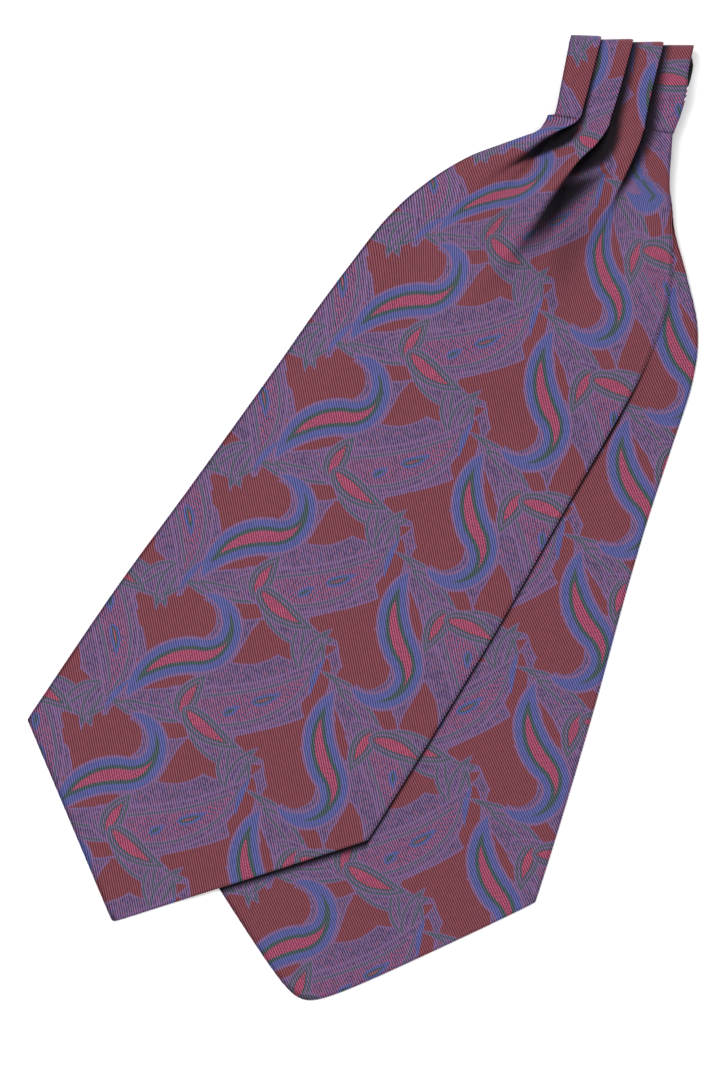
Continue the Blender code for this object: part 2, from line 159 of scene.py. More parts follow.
BACK_COLUMNS = "down turn left right".split()
BACK_SECTIONS = (
    (-40.0, 13.2, -24.6, 26.4),
    (0.0, 12.6, -24.6, 27.4),
    (11.0, 12.5, -27.6, 30.4),
    (22.0, 12.3, -33.6, 33.8),
    (32.0, 11.7, -38.6, 38.6),
    (43.0, 10.7, -44.6, 43.6),
    (61.5, 8.6, -55.0, 56.0),
    (82.0, 6.0, -63.6, 68.8),
    (94.0, 4.5, -66.2, 72.7),
    (109.0, 2.8, -67.8, 74.6),
    (135.0, 0.8, -68.9, 75.0),
    (160.0, 0.0, -69.6, 75.5),
    (190.0, 0.0, -71.2, 76.9),
    (258.0, 0.0, -76.0, 81.6),
    (330.0, 0.0, -80.6, 85.0),
    (364.0, 0.0, -82.0, 85.8),
)
BACK_SPACING = ((-32.9, 20.0, 4.0), (20.0, 160.0, 2.5))
BACK_END_STEPS = 74
BACK_COLUMNS_ACROSS = 72

TUCK_COLUMNS = "down left right".split()
TUCK_SECTIONS = (
    (0.3 - FOLD_STARTS, -25.6, 28.4),
    (-30.0, -25.6, 30.4),
    (-25.0, -25.4, 30.6),
    (-19.0, -25.2, 30.3),
    (-12.0, -25.0, 29.4),
    (-6.0, -24.8, 28.6),
    (0.0, -24.8, 27.0),
    (25.0, -25.4, 26.0),
    (60.0, -26.0, 26.0),
    (TUCK_BELOW_NECK - TUCK_ROUND_END, -26.0, 26.0),
)

# The painted shade in the hollow to the right of each pleat's edge: how dark it is, how far it reaches, and
# the share of it that stays fully dark
HOLLOW_COLUMNS = "down wide_1 deep_1 full_1 wide_2 deep_2 full_2 wide_3 deep_3 full_3".split()
HOLLOWS = (
    (-40.0, 2.6, 0.92, 0.3, 5.0, 0.93, 0.3, 5.0, 0.94, 0.3),
    (-20.0, 3.2, 0.96, 0.4, 6.6, 0.97, 0.35, 7.0, 0.97, 0.3),
    (-4.0, 3.8, 0.98, 0.45, 8.0, 0.99, 0.4, 9.0, 0.98, 0.35),
    (2.0, 6.4, 0.98, 0.6, 8.8, 0.99, 0.5, 9.0, 0.98, 0.35),
    (6.0, 10.8, 0.99, 0.75, 10.4, 0.99, 0.6, 8.6, 0.98, 0.35),
    (12.0, 15.0, 0.99, 0.78, 12.6, 0.99, 0.68, 8.2, 0.97, 0.35),
    (19.0, 12.8, 0.98, 0.6, 16.4, 0.99, 0.62, 7.4, 0.96, 0.3),
    (25.0, 8.4, 0.94, 0.4, 18.4, 0.99, 0.56, 6.4, 0.93, 0.3),
    (31.0, 5.4, 0.50, 0.1, 19.4, 0.99, 0.52, 5.4, 0.75, 0.2),
    (38.0, 5.0, 0.00, 0.0, 19.4, 0.98, 0.46, 4.6, 0.40, 0.1),
    (46.0, 5.0, 0.00, 0.0, 18.4, 0.97, 0.40, 4.2, 0.10, 0.0),
    (55.0, 5.0, 0.00, 0.0, 16.4, 0.94, 0.32, 4.0, 0.00, 0.0),
    (64.0, 5.0, 0.00, 0.0, 14.4, 0.80, 0.16, 4.0, 0.00, 0.0),
    (76.0, 5.0, 0.00, 0.0, 12.0, 0.44, 0.0, 4.0, 0.00, 0.0),
    (92.0, 5.0, 0.00, 0.0, 12.0, 0.00, 0.0, 4.0, 0.00, 0.0),
)
# How softly a hollow's painted shade begins, in guide points, and how much of it a ridge in the hollow loses
HOLLOW_ONSET = 1.6
RIDGE_LIT = 0.75

# Broad soft painted shade on the flare, as in the table of soft creases, with its depth in place of a height
SOFT_SHADES = (
    (14.0, 58.0, 87.6, 20.0, 8.0, 0.34),
    (-20.0, 66.0, 100.0, 16.0, 7.0, 0.16),
)

# Painted shade in the sharp creases where the pleats are stitched: from (side, down) to (side, down), half
# width and depth.
# Then the share of their length over which they fade out at each end
STITCH_CREASES = (
    (-30.0, -1.2, -15.0, -1.0, 0.6, 0.62),
    (19.5, 0.1, 29.0, 0.8, 0.5, 0.66),
)
STITCH_CREASE_ENDS = 0.1

# Slip stitches at the right edge of the folded band: how far below the neck, side, length and direction. Their
# ends narrow to the root of STITCH_END of their radius
STITCHES = ((-19.6, 29.9, 1.7, 62.0), (-17.4, 30.2, 1.7, 54.0), (-14.6, 30.1, 1.9, 60.0))
STITCH_RADIUS = 0.24
STITCH_HEIGHT = 9.0
STITCH_BOW = 0.25
STITCH_END = 0.02
STITCH_STEPS = 8
STITCH_SIDES = 8

# The painted shadow on the back blade beside the front one. The front blade's right edge is a curve of (share
# of the way to its tip, side in tenths of a metre). Then come its corner, the shadow's reach, depth and limit,
# and how much further it reaches past the pointed end
FRONT_EDGE = tuple(
    (down / FRONT["tip"], side / 100)
    for down, side in ((62.0, 62.4), (80.0, 69.3), (105.0, 73.0), (155.0, 74.8), (237.0, 78.0), (370.0, 78.9))
)
FRONT_CORNER_SIDE = 78.8
CONTACT_REACH = 2.2
CONTACT_DEPTH = 1.5
CONTACT_MOST = 0.97
CONTACT_END = 0.5

# A ridge that catches the light in the middle hollow, as in the table of soft creases
RIDGE = ((7.0, 19.8, -55.6, 12.0, 1.9, 1.0),)
RIDGE_HEIGHT = 1.2

# Soft creases laid on the blades: where each is in the middle, its direction clockwise from across the blade,
# its half length and half width, and its height. Each bows a little
CREASE_COLUMNS = "side down angle long wide high".split()
CREASE_BOW = 0.5
FRONT_CREASES = (
    (-30.0, 96.0, 62.0, 34.0, 9.0, 0.55),
    (22.0, 118.0, 112.0, 40.0, 12.0, 0.45),
    (-46.0, 190.0, 84.0, 55.0, 15.0, 0.40),
    (48.0, 205.0, 97.0, 60.0, 13.0, 0.45),
    (4.0, 262.0, 78.0, 62.0, 18.0, 0.35),
    (-44.0, 320.0, 118.0, 40.0, 14.0, 0.35),
    (40.0, 318.0, 70.0, 36.0, 13.0, 0.30),
    (0.0, 385.0, 92.0, 30.0, 12.0, 0.30),
)
BACK_CREASES = (
    (58.0, 120.0, 98.0, 34.0, 10.0, 0.30),
    (62.0, 210.0, 86.0, 60.0, 12.0, 0.35),
    (40.0, 310.0, 104.0, 50.0, 14.0, 0.30),
    (10.0, 380.0, 64.0, 30.0, 13.0, 0.30),
)
# The front piece's creases start this far below the neck, and the back piece's at this side of the front one.
# Both come in over a distance
FRONT_CREASES_FROM = 50.0
FRONT_CREASES_OVER = 30.0
BACK_CREASES_FULL = 84.0
BACK_CREASES_OVER = 10.0

# How much cloth the hidden part of a pleat holds for its modelled length, how far the print may close up, and
# how far down the blade the cloth keeps to the band's direction
HIDDEN_CLOTH = (0.5, 2.6)
PRINT_CLOSING = 1.25
BAND_CLOTH_ENDS = 60.0

# Where the print lies on each piece's cloth
FRONT_SHIFT = (34.0, 12.0)
BACK_SHIFT = (12.0, -18.0)


def smooth(value):
    """0 to 1 with a soft start and end, for values from 0 to 1."""
    value = np.clip(value, 0.0, 1.0)
    return value * value * (3 - 2 * value)


def slopes_of(places, values):
    """Slopes for a curve through the values that never overshoots them."""
    steps = np.diff(values) / np.diff(places)
    slopes = np.zeros(len(values))
    slopes[0] = steps[0]
    slopes[-1] = steps[-1]
    for i in range(1, len(steps)):
        if steps[i - 1] * steps[i] > 0:
            slopes[i] = 2 * steps[i - 1] * steps[i] / (steps[i - 1] + steps[i])
    return slopes


def section_at(columns, sections, down):
    """The sections of a table at distances below the neck, as a dictionary of its columns."""
    table = np.array(sections, float)
    places = table[:, 0]
    down = np.clip(down, places[0], places[-1])
    i = np.clip(np.searchsorted(places, down, side="right") - 1, 0, len(places) - 2)
    width = places[i + 1] - places[i]
    t = (down - places[i]) / width
    found = {}
    for column, name in enumerate(columns):
        values = table[:, column]
        slopes = slopes_of(places, values)
        found[name] = (
            (2 * t**3 - 3 * t**2 + 1) * values[i]
            + (t**3 - 2 * t**2 + t) * width * slopes[i]
            + (3 * t**2 - 2 * t**3) * values[i + 1]
            + (t**3 - t**2) * width * slopes[i + 1]
        )
    return found


def spine(lean, down):
    """The point on a piece's centre line, this far below the neck, or above it where down is negative."""
    angle = math.radians(lean if down >= 0 else NECK_LEAN)
    return NECK_X - down * math.sin(angle), NECK_Y - down * math.cos(angle)


def across(centre, tilt, side):
    """Points on a section: side is the distance from its centre to the right, and tilt turns it clockwise."""
    angle = math.radians(tilt)
    return centre[0] + side * math.cos(angle), centre[1] - side * math.sin(angle)


def on_blade(lean, x, y):
    """(distance below the neck, distance to the right) of points, along a blade of this lean."""
    angle = math.radians(lean)
    dx = x - NECK_X
    dy = y - NECK_Y
    return -dx * math.sin(angle) - dy * math.cos(angle), dx * math.cos(angle) - dy * math.sin(angle)


def end_of(blade, side, left, right):
    """How far below the neck the blade's pointed end lies at these distances from its centre."""
    corner = np.where(side < 0, blade["left_corner"], blade["right_corner"])
    half = np.where(side < 0, -left, right)
    soft = blade["rounding"]
    rounded = (np.hypot(side / half, soft) - soft) / (math.hypot(1.0, soft) - soft)
    return blade["tip"] - (blade["tip"] - corner) * np.minimum(1.0, rounded)


def over_tuck(x, y):
    """1 over the tucked neck band, falling softly to 0 around it."""
    down, side = on_blade(NECK_LEAN, x, y)
    past_end = np.maximum(0.0, down - TUCK_BELOW_NECK)
    past_side = np.maximum(0.0, np.abs(side) - BAND_HALF_WIDTH - GAP)
    return 1 - smooth(np.hypot(past_end, past_side) / DRAPE_REACH)


def over_back(x, y):
    """1 over the back blade, falling softly to 0 past its left edge and its pointed end."""
    down, side = on_blade(BACK["lean"], x, y)
    edges = section_at(BACK_COLUMNS, BACK_SECTIONS, np.maximum(down, 0.0))
    past_edge = edges["left"] - side
    held = np.minimum(np.maximum(side, edges["left"]), 0.0)
    past_end = down - end_of(BACK, held, edges["left"], edges["right"])
    return 1 - smooth((np.maximum(past_edge, past_end) - STEP_MARGIN) / STEP_REACH)


def creases(table, lean, x, y):
    """Height of the soft creases at points on a blade."""
    down, side = on_blade(lean, x, y)
    height = np.zeros_like(x)
    for values in table:
        row = dict(zip(CREASE_COLUMNS, values))
        angle = math.radians(row["angle"])
        du = side - row["side"]
        dv = down - row["down"]
        along = (du * math.cos(angle) + dv * math.sin(angle)) / row["long"]
        away = (dv * math.cos(angle) - du * math.sin(angle)) / row["wide"]
        bowed = away + CREASE_BOW * along * along
        height += row["high"] * np.exp(-along * along - bowed * bowed)
    return height


def back_rest(x, y):
    """Height of the middle of the back piece's cloth."""
    return CLOTH / 2 + (TUCK_THICKNESS + GAP) * over_tuck(x, y)


def front_rest(x, y, down=0.0):
    """Height of the middle of the front piece's lowest cloth. The band rises to its fold."""
    climb = FOLD_CENTRE_HEIGHT + FOLD_RADIUS - PLEAT_RISE - (2.5 * CLOTH + TUCK_THICKNESS + 2 * GAP)
    rise = (climb + CLOTH) * smooth(-down / FOLD_STARTS)
    return back_rest(x, y) + LAYER * over_back(x, y) + rise


def spline(points, steps):
    """Points along a smooth curve that follows a list of points and ends on its first and last."""
    first = [2 * a - b for a, b in zip(points[0], points[1])]
    last = [2 * a - b for a, b in zip(points[-1], points[-2])]
    guide = np.array([first, *points, last], float)
    found = []
    for i in range(1, len(guide) - 2):
        for step in range(steps):
            t = step / steps
            weights = ((1 - t) ** 3, 3 * t**3 - 6 * t**2 + 4, -3 * t**3 + 3 * t**2 + 3 * t + 1, t**3)
            found.append(sum(w * guide[i - 1 + n] for n, w in enumerate(weights)) / 6)
    found.append(guide[-2])
    return np.array(found)


def fold_guide(crest, valley, top, low, slope_in, slope_out):
    """Guide points of one pleat's fold: over its crest, back under it, and out of its valley."""
    spread = min(FOLD_SPREAD, max(0.0, FOLD_SPREAD_SHARE * (valley - crest)))
    drop = min(FOLD_DROP, FOLD_DROP_SHARE * max(0.0, top - low))
    lead = CORNER_LEAD - spread / 4
    return [
        (crest - spread / 2 - lead, top - slope_in * lead),
        (crest - spread / 2, top),
        (crest + spread / 2, top - drop),
        ((crest + valley) / 2, (top + low) / 2),
        (valley - spread / 2, low + drop),
        (valley + spread / 2, low),
        (valley + spread / 2 + lead, low + slope_out * lead),
    ]


def front_guide(row):
    """Guide points of the front piece's section, as (side, height above what it lies on)."""
    crests = [row[f"crest_{n}"] for n in (1, 2, 3)]
    valleys = [row[f"valley_{n}"] for n in (1, 2, 3)]
    rises = [row[f"rise_{n}"] for n in (1, 2, 3)]
    starts = [(row["left"], row["lift_left"])] + [(side, 0.0) for side in valleys]
    ends = list(zip(crests, rises)) + [(row["right"], row["lift_right"])]
    slopes = [(b[1] - a[1]) / (b[0] - a[0]) for a, b in zip(starts, ends)]
    guide = [starts[0]]
    for n in range(3):
        fold = fold_guide(crests[n], valleys[n], rises[n], 0.0, slopes[n], slopes[n + 1])
        guide.append(tuple((a + b) / 2 for a, b in zip(guide[-1], fold[0])))
        guide += fold
    guide.append(tuple((a + b) / 2 for a, b in zip(guide[-1], ends[-1])))
    guide.append(ends[-1])
    return guide


def spaced(spacing):
    """Distances below the neck from a spacing table, ends included."""
    found = []
    for start, end, step in spacing:
        count = max(1, round((end - start) / step))
        found += [start + (end - start) * i / count for i in range(count)]
    return found + [spacing[-1][1]]


def front_row(down):
    """Points across the front piece at one section."""
    row = {name: float(value) for name, value in section_at(FRONT_COLUMNS, FRONT_SECTIONS, down).items()}
    centre = spine(FRONT["lean"], down)
    points = spline(front_guide(row), SPLINE_STEPS)
    x, y = across(centre, FRONT["lean"] - row["turn"], points[:, 0])
    z = front_rest(x, y, down) + points[:, 1]
    return np.stack([x, y, z], axis=1)


def sides_at(columns, sections, down, shares):
    """The sections at distances below the neck, and the sides of points at shares of the way to an edge."""
    section = section_at(columns, sections, down)
    return section, np.where(shares > 0, shares * section["right"], -shares * section["left"])


def end_rows(blade, columns, sections, shares, rest, steps):
    """Rows from the last straight section of a blade to its pointed end."""
    rows = []
    for step in range(1, steps + 1):
        part = step / steps
        down = np.full(len(shares), blade["flat_from"])
        section, side = sides_at(columns, sections, down, shares)
        for _ in range(END_ROUNDS):
            end = end_of(blade, side, section["left"], section["right"])
            down = blade["flat_from"] + (end - blade["flat_from"]) * part
            section, side = sides_at(columns, sections, down, shares)
        angle = math.radians(blade["lean"])
        x = NECK_X - down * math.sin(angle) + side * math.cos(angle)
        y = NECK_Y - down * math.cos(angle) - side * math.sin(angle)
        rows.append(np.stack([x, y, rest(x, y)], axis=1))
    return rows


def shares_across(row, lean):
    """Each point of a straight row as its share of the way from the centre to the row's own edge."""
    sides = on_blade(lean, row[:, 0], row[:, 1])[1]
    return np.where(sides > 0, sides / sides[-1], sides / -sides[0])


def front_grid():
    """Rows of points through the whole front piece: its fold, its pleated band, its flare and its blade."""
    downs = spaced(FRONT_SPACING)
    rows = [front_row(down) for down in downs]
    up = math.radians(NECK_LEAN)
    fold = []
    for step in range(FOLD_STEPS, 0, -1):
        angle = math.pi * step / FOLD_STEPS
        radius = rows[0][:, 2] - FOLD_CENTRE_HEIGHT
        reach = radius * math.sin(angle)
        turned = rows[0].copy()
        turned[:, 0] += reach * math.sin(up)
        turned[:, 1] += reach * math.cos(up)
        turned[:, 2] = FOLD_CENTRE_HEIGHT + radius * math.cos(angle)
        fold.append(turned)
    shares = shares_across(rows[-1], FRONT["lean"])
    tail = end_rows(FRONT, FRONT_COLUMNS, FRONT_SECTIONS, shares, front_rest, FRONT_END_STEPS)
    grid = np.array(fold + rows + tail)
    x, y = grid[:, :, 0], grid[:, :, 1]
    down = on_blade(FRONT["lean"], x, y)[0]
    below = smooth((down - FRONT_CREASES_FROM) / FRONT_CREASES_OVER)
    grid[:, :, 2] += creases(FRONT_CREASES, FRONT["lean"], x, y) * below
    held = np.zeros(grid.shape[1])
    held[SPLINE_STEPS * (CREST_GUIDES[1] + FOLD_GUIDES - 1): SPLINE_STEPS * CREST_GUIDES[2]] = 1.0
    grid[:, :, 2] += RIDGE_HEIGHT * creases(RIDGE, FRONT["lean"], x, y) * held
    return grid, len(fold), len(rows)


def back_grid():
    """Rows of points through the back piece."""
    rows = []
    shares = np.linspace(-1, 1, BACK_COLUMNS_ACROSS + 1)
    for down in spaced(BACK_SPACING):
        section, side = sides_at(BACK_COLUMNS, BACK_SECTIONS, down, shares)
        tilt = NECK_TILT if down <= 0 else BACK["lean"] - float(section["turn"])
        x, y = across(spine(BACK["lean"], down), tilt, side)
        rows.append(np.stack([x, y, back_rest(x, y)], axis=1))
    shares = shares_across(rows[-1], BACK["lean"])
    rows += end_rows(BACK, BACK_COLUMNS, BACK_SECTIONS, shares, back_rest, BACK_END_STEPS)
    grid = np.array(rows)
    x, y = grid[:, :, 0], grid[:, :, 1]
    shown = 1 - smooth((BACK_CREASES_FULL - on_blade(FRONT["lean"], x, y)[1]) / BACK_CREASES_OVER)
    grid[:, :, 2] += creases(BACK_CREASES, BACK["lean"], x, y) * shown
    return grid


def stitch_shade(side, down):
    """How much light the painted shade of the sharp creases at the stitching leaves, for the sides of one row.
    """
    shade = np.ones(len(side))
    for side_1, down_1, side_2, down_2, wide, deep in STITCH_CREASES:
        share = (side - side_1) / (side_2 - side_1)
        off = (down - down_1 - (down_2 - down_1) * share) / wide
        held = smooth(share / STITCH_CREASE_ENDS) * smooth((1.0 - share) / STITCH_CREASE_ENDS)
        shade *= 1 - deep * held * np.exp(-off * off)
    return shade


def front_shade(grid, fold_rows, downs):
    """How much light the painted shade leaves on the front piece's cloth at each point of its grid, from 0 to
    1.
    """
    shade = np.ones(grid.shape[:2])
    crests = [SPLINE_STEPS * n for n in CREST_GUIDES]
    marks = crests + [grid.shape[1]]
    ridge = creases(RIDGE, FRONT["lean"], grid[:, :, 0], grid[:, :, 1])
    shade *= 1 - creases(SOFT_SHADES, FRONT["lean"], grid[:, :, 0], grid[:, :, 1])
    for i in range(fold_rows + len(downs)):
        source = max(i, fold_rows)
        down = downs[source - fold_rows]
        row = section_at(HOLLOW_COLUMNS, HOLLOWS, down)
        centre = spine(FRONT["lean"], down)
        dx = grid[source, :, 0] - centre[0]
        side = np.sign(dx) * np.hypot(dx, grid[source, :, 1] - centre[1])
        for n in range(3):
            a, b = marks[n], marks[n + 1]
            away = np.maximum(0.0, side[a:b] - side[a]) / row[f"wide_{n + 1}"]
            full = row[f"full_{n + 1}"]
            dark = row[f"deep_{n + 1}"] * (1 - smooth((away - full) / (1 - full)))
            onset = smooth(np.arange(b - a) / (HOLLOW_ONSET * SPLINE_STEPS))
            shade[i, a:b] *= 1 - dark * onset * (1 - RIDGE_LIT * ridge[i, a:b])
        if i >= fold_rows:
            shade[i] *= stitch_shade(side, down)
    return shade


def hidden_steps(side):
    """Which steps across a row of the front piece lie under a pleat's crest."""
    n = np.arange(len(side) - 1)
    hidden = np.zeros(len(n), bool)
    for guide in CREST_GUIDES:
        crest = SPLINE_STEPS * guide
        in_fold = (n >= crest) & (n < crest + FOLD_GUIDES * SPLINE_STEPS)
        hidden |= in_fold & (side[:-1] < side[crest])
    return hidden


def cloth_steps(steps, hidden, flat):
    """How far each step across a row goes on the cloth, where flat is how the cloth lies once it is open."""
    marks = [0, *(SPLINE_STEPS * n for n in CREST_GUIDES), len(steps)]
    wide = np.zeros(len(steps))
    for a, b in zip(marks, marks[1:]):
        cut = flat[b] - flat[a]
        shown = steps[a:b][~hidden[a:b]].sum()
        under = steps[a:b][hidden[a:b]].sum()
        stretch = np.clip((cut - shown) / max(under, 1e-6), *HIDDEN_CLOTH)
        limit = 1.0 if a == 0 else PRINT_CLOSING
        scale = min(limit, (cut - under * stretch) / shown)
        wide[a:b] = np.where(hidden[a:b], stretch, scale) * steps[a:b]
    return wide


def front_cloth(grid, fold_rows, straight_rows):
    """(across, down) on the flat cloth for each point of the front piece's grid, in millimetres."""
    flat_row = fold_rows + straight_rows - 1
    x, y = grid[:, :, 0], grid[:, :, 1]
    path, side = on_blade(FRONT["lean"], x, y)
    middle = SPLINE_STEPS * CREST_GUIDES[1]
    flat = side[flat_row]
    wide = np.array(side)
    for i in range(flat_row - 1, -1, -1):
        source = max(i, fold_rows)
        steps = np.linalg.norm(np.diff(grid[source], axis=0), axis=1)
        u = np.concatenate([[0.0], np.cumsum(cloth_steps(steps, hidden_steps(side[source]), flat))])
        wide[i] = u - u[middle] + flat[middle]
        path[i] = path[i + 1] - np.linalg.norm(grid[i + 1] - grid[i], axis=1)
    band = on_blade(NECK_LEAN, x, y)[0]
    level = band + (path - band)[:, middle:middle + 1]
    before = np.array(path[fold_rows])
    held = 1 - smooth(np.array(spaced(FRONT_SPACING))[:, None] / BAND_CLOTH_ENDS)
    straight = slice(fold_rows, fold_rows + straight_rows)
    path[straight] += held * (level - path)[straight]
    path[:fold_rows] += path[fold_rows] - before
    return np.stack([wide, path], axis=2)


def back_cloth(grid):
    """(across, down) on the flat cloth for each point of the back piece's grid, in millimetres."""
    down, side = on_blade(BACK["lean"], grid[:, :, 0], grid[:, :, 1])
    return np.stack([side, down], axis=2)


def unit(vectors):
    """Vectors made one long."""
    return vectors / np.maximum(np.linalg.norm(vectors, axis=-1, keepdims=True), 1e-9)


def rim_walk(rows, columns):
    """Grid places round the border of a grid, with the direction out of it as (row step, column step)."""
    walk = [((0, j), (-1, 0)) for j in range(columns)]
    walk += [((i, columns - 1), (0, 1)) for i in range(1, rows)]
    walk += [((rows - 1, j), (1, 0)) for j in range(columns - 2, -1, -1)]
    walk += [((i, 0), (0, -1)) for i in range(rows - 2, 0, -1)]
    return walk


def new_mesh(name, points, faces):
    """A mesh from points in metres and faces."""
    mesh = bpy.data.meshes.new(name)
    mesh.from_pydata(points, [], faces)
    mesh.update()
    return mesh


def add_piece(name, data):
    """A new object of the scene."""
    piece = bpy.data.objects.new(name, data)
    bpy.context.scene.collection.objects.link(piece)
    return piece


def tube_faces(start, rings, sides, turned=False):
    """Faces of a tube with closed ends, through rings of points. turned faces them the other way."""
    faces = []
    for first in range(start, start + (rings - 1) * sides, sides):
        for k in range(sides):
            a = first + k
            b = first + (k + 1) % sides
            faces.append((a, b, b + sides, a + sides) if turned else (a, a + sides, b + sides, b))
    last = start + (rings - 1) * sides
    ends = [tuple(range(start, start + sides)), tuple(reversed(range(last, last + sides)))]
    return faces + [end[::-1] for end in ends] if turned else faces + ends


def shell_parts(grid, thickness, walk):
    """Points of a closed thin shell with a rounded rim, and its faces: upper, lower and those of the rim."""
    rows, columns = grid.shape[:2]
    count = rows * columns
    turns = len(RIM_TURNS)
    normal = unit(np.cross(np.gradient(grid, axis=0), np.gradient(grid, axis=1)))
    if normal[rows // 2, columns // 2, 2] < 0:
        normal = -normal
    half = np.broadcast_to(thickness, (rows, columns))[:, :, None] / 2
    corner = (np.arange(rows - 1)[:, None] * columns + np.arange(columns - 1)).ravel()
    upper = np.stack([corner, corner + columns, corner + columns + 1, corner + 1], axis=1)
    rim_points = []
    rings = []
    for n, ((r, c), (dr, dc)) in enumerate(walk):
        out = grid[r, c] - grid[r - dr, c - dc]
        out = out - normal[r, c] * np.dot(out, normal[r, c])
        out = out / max(np.linalg.norm(out), 1e-9)
        for turn in RIM_TURNS:
            angle = math.radians(turn)
            toward = normal[r, c] * math.sin(angle) + RIM_REACH * out * math.cos(angle)
            rim_points.append(grid[r, c] + half[r, c] * toward)
        start = 2 * count + n * turns
        rings.append([r * columns + c, *range(start, start + turns), count + r * columns + c])
    rim = [
        [ring[k], ring[k + 1], after[k + 1], after[k]]
        for ring, after in zip(rings, rings[1:] + rings[:1])
        for k in range(turns + 1)
    ]
    faces = [grid + normal * half, grid - normal * half]
    points = np.concatenate([face.reshape(-1, 3) for face in faces] + [np.array(rim_points)])
    return points, upper.tolist(), (upper[:, ::-1] + count).tolist(), rim


def bake_places(cloth, loops, face_count, walk_length):
    """Places on the bake map for a shell's loops: its upper face, its lower face beside it, and its rim."""
    low_corner = cloth.min(axis=0)
    span = cloth.max(axis=0) - low_corner
    scale = BAKE_FACES / max(span[1], BAKE_TWO_WIDE * span[0])
    places = (cloth[loops] - low_corner) * scale + BAKE_MARGIN
    rim_start = 8 * face_count
    places[4 * face_count: rim_start, 0] += span[0] * scale * BAKE_GAP
    layers = len(RIM_TURNS) + 1
    n, k = np.divmod(np.arange(walk_length * layers), layers)
    along = np.stack([n, n, n + 1, n + 1], axis=1).ravel()
    height = np.stack([k, k + 1, k + 1, k], axis=1).ravel()
    places[rim_start:, 0] = BAKE_RIM_FROM + BAKE_RIM_WIDE * height / layers
    places[rim_start:, 1] = BAKE_MARGIN + BAKE_RIM_LONG * along / walk_length
    return places


def add_shell(name, grid, cloth, thickness, material, shade=None):
    """A closed thin shell with a rounded rim through a grid of points, with its cloth and bake UV maps."""
    rows, columns = grid.shape[:2]
    count = rows * columns
    walk = rim_walk(rows, columns)
    turns = len(RIM_TURNS)
    points, upper, lower, rim = shell_parts(grid, thickness, walk)
    mesh = new_mesh(name, (points * MM).tolist(), upper + lower + rim)
    rim_cloth = np.repeat([cloth[place] for place, _ in walk], turns, axis=0)
    all_cloth = np.concatenate([cloth.reshape(-1, 2), cloth.reshape(-1, 2), rim_cloth]) * MM
    loops = np.zeros(len(mesh.loops), np.int64)
    mesh.loops.foreach_get("vertex_index", loops)
    cloth_map = mesh.uv_layers.new(name="Cloth")
    bake_map = mesh.uv_layers.new(name="OFBake")
    cloth_map.data.foreach_set("uv", all_cloth[loops].ravel())
    bake_map.data.foreach_set("uv", bake_places(all_cloth, loops, len(upper), len(walk)).ravel())
    mesh.uv_layers.active = cloth_map
    # Painted shade and light held on the points: the given shade on the upper face, half of it on the lower
    # face, and the rim painted lighter still. Alpha marks the upper face
    if shade is None:
        shade = np.ones((rows, columns))
    # The rim is painted lighter than the cloth beside it, a painted highlight
    rim_shade = np.repeat([RIM_PAINTED_LIGHT * shade[place] for place, _ in walk], turns)
    all_shade = np.concatenate([shade.ravel(), (1 + shade.ravel()) / 2, rim_shade])
    all_shade = np.repeat(all_shade[:, None], 4, axis=1)
    all_shade[:, 3] = 0.0
    all_shade[:count, 3] = 1.0
    hollow = mesh.color_attributes.new(name="PaintedShadeAndLight", type="FLOAT_COLOR", domain="POINT")
    hollow.data.foreach_set("color", all_shade.ravel())
    mesh.materials.append(material)
    mesh.shade_smooth()
    return add_piece(name, mesh)


# Colours of the print and of its ground, as 0 to 255 values
COLOURS = {
    "ground": (120, 47, 59),
    "violet": (117, 84, 132),
    "mottle": (118, 79, 131),
    "mottle_dark": (63, 66, 89),
    "blue": (76, 81, 145),
    "green": (50, 73, 77),
    "red": (170, 64, 97),
    "ink": (38, 22, 73),
    "grey_green": (73, 80, 96),
}

# The repeat of the print, across and down the cloth. A second column is turned over and set off from it
REPEAT_ACROSS = 152.0
REPEAT_DOWN = 64.0
SECOND_COLUMN_ACROSS = 79.0
SECOND_COLUMN_DOWN = 6.0

# Outlines of the leaves: their half width, as a share of the widest, along them
PROFILES = {
    "flame": (
        (0.0, 0.0), (0.05, 0.28), (0.15, 0.62), (0.3, 0.92), (0.42, 1.0),
        (0.53, 0.92), (0.64, 0.72), (0.78, 0.56), (0.91, 0.34), (1.0, 0.0),
    ),
    "fin": ((0.0, 0.0), (0.06, 0.42), (0.2, 0.82), (0.42, 1.0), (0.66, 0.86), (0.85, 0.5), (1.0, 0.0)),
    "drop": ((0.0, 0.0), (0.05, 0.48), (0.18, 0.88), (0.36, 1.0), (0.62, 0.78), (0.85, 0.34), (1.0, 0.0)),
    "stroke": ((0.0, 0.0), (0.25, 0.62), (0.5, 1.0), (0.8, 0.6), (1.0, 0.0)),
}

# Bands inside each kind of leaf, as (distance in from its edge, colour). Mottled bands show the mottle
BANDS = {
    "flame": ((0.0, "violet"), (1.3, "blue"), (4.4, "green"), (6.1, "red")),
    "fin": (
        (0.0, "violet"), (1.1, "mottle"), (2.8, "violet"),
        (3.5, "grey_green"), (4.3, "violet"), (5.0, "mottle"),
    ),
    "seed": ((0.0, "violet"), (0.8, "grey_green"), (2.2, "violet"), (2.9, "green"), (3.8, "red")),
    "stroke": ((0.0, "violet"), (0.5, "grey_green"), (1.7, "violet"), (2.4, "mottle")),
    "thin": ((0.0, "violet"), (1.0, "mottle")),
    "bare": ((0.0, "violet"), (0.9, "ground")),
    "edge": ((0.0, "blue"),),
    "eye": ((0.0, "blue"), (1.2, "green"), (2.0, "red")),
}
# How deep inside a leaf its bands can lie, how far inside its edge it begins, and how finely its box is found
BANDS_REACH = 20.0
LEAF_EDGE = 0.02
OUTLINE_POINTS = 41

# Spots inside a leaf, by the number in its last column: their colour and spacing. Then the limit of the
# wave where they show, and how strong they are
SPOTS = {2: ("ink", 1.5), 3: ("red", 2.3)}
SPOT_EDGE = 0.35
SPOT_STRENGTH = 0.7

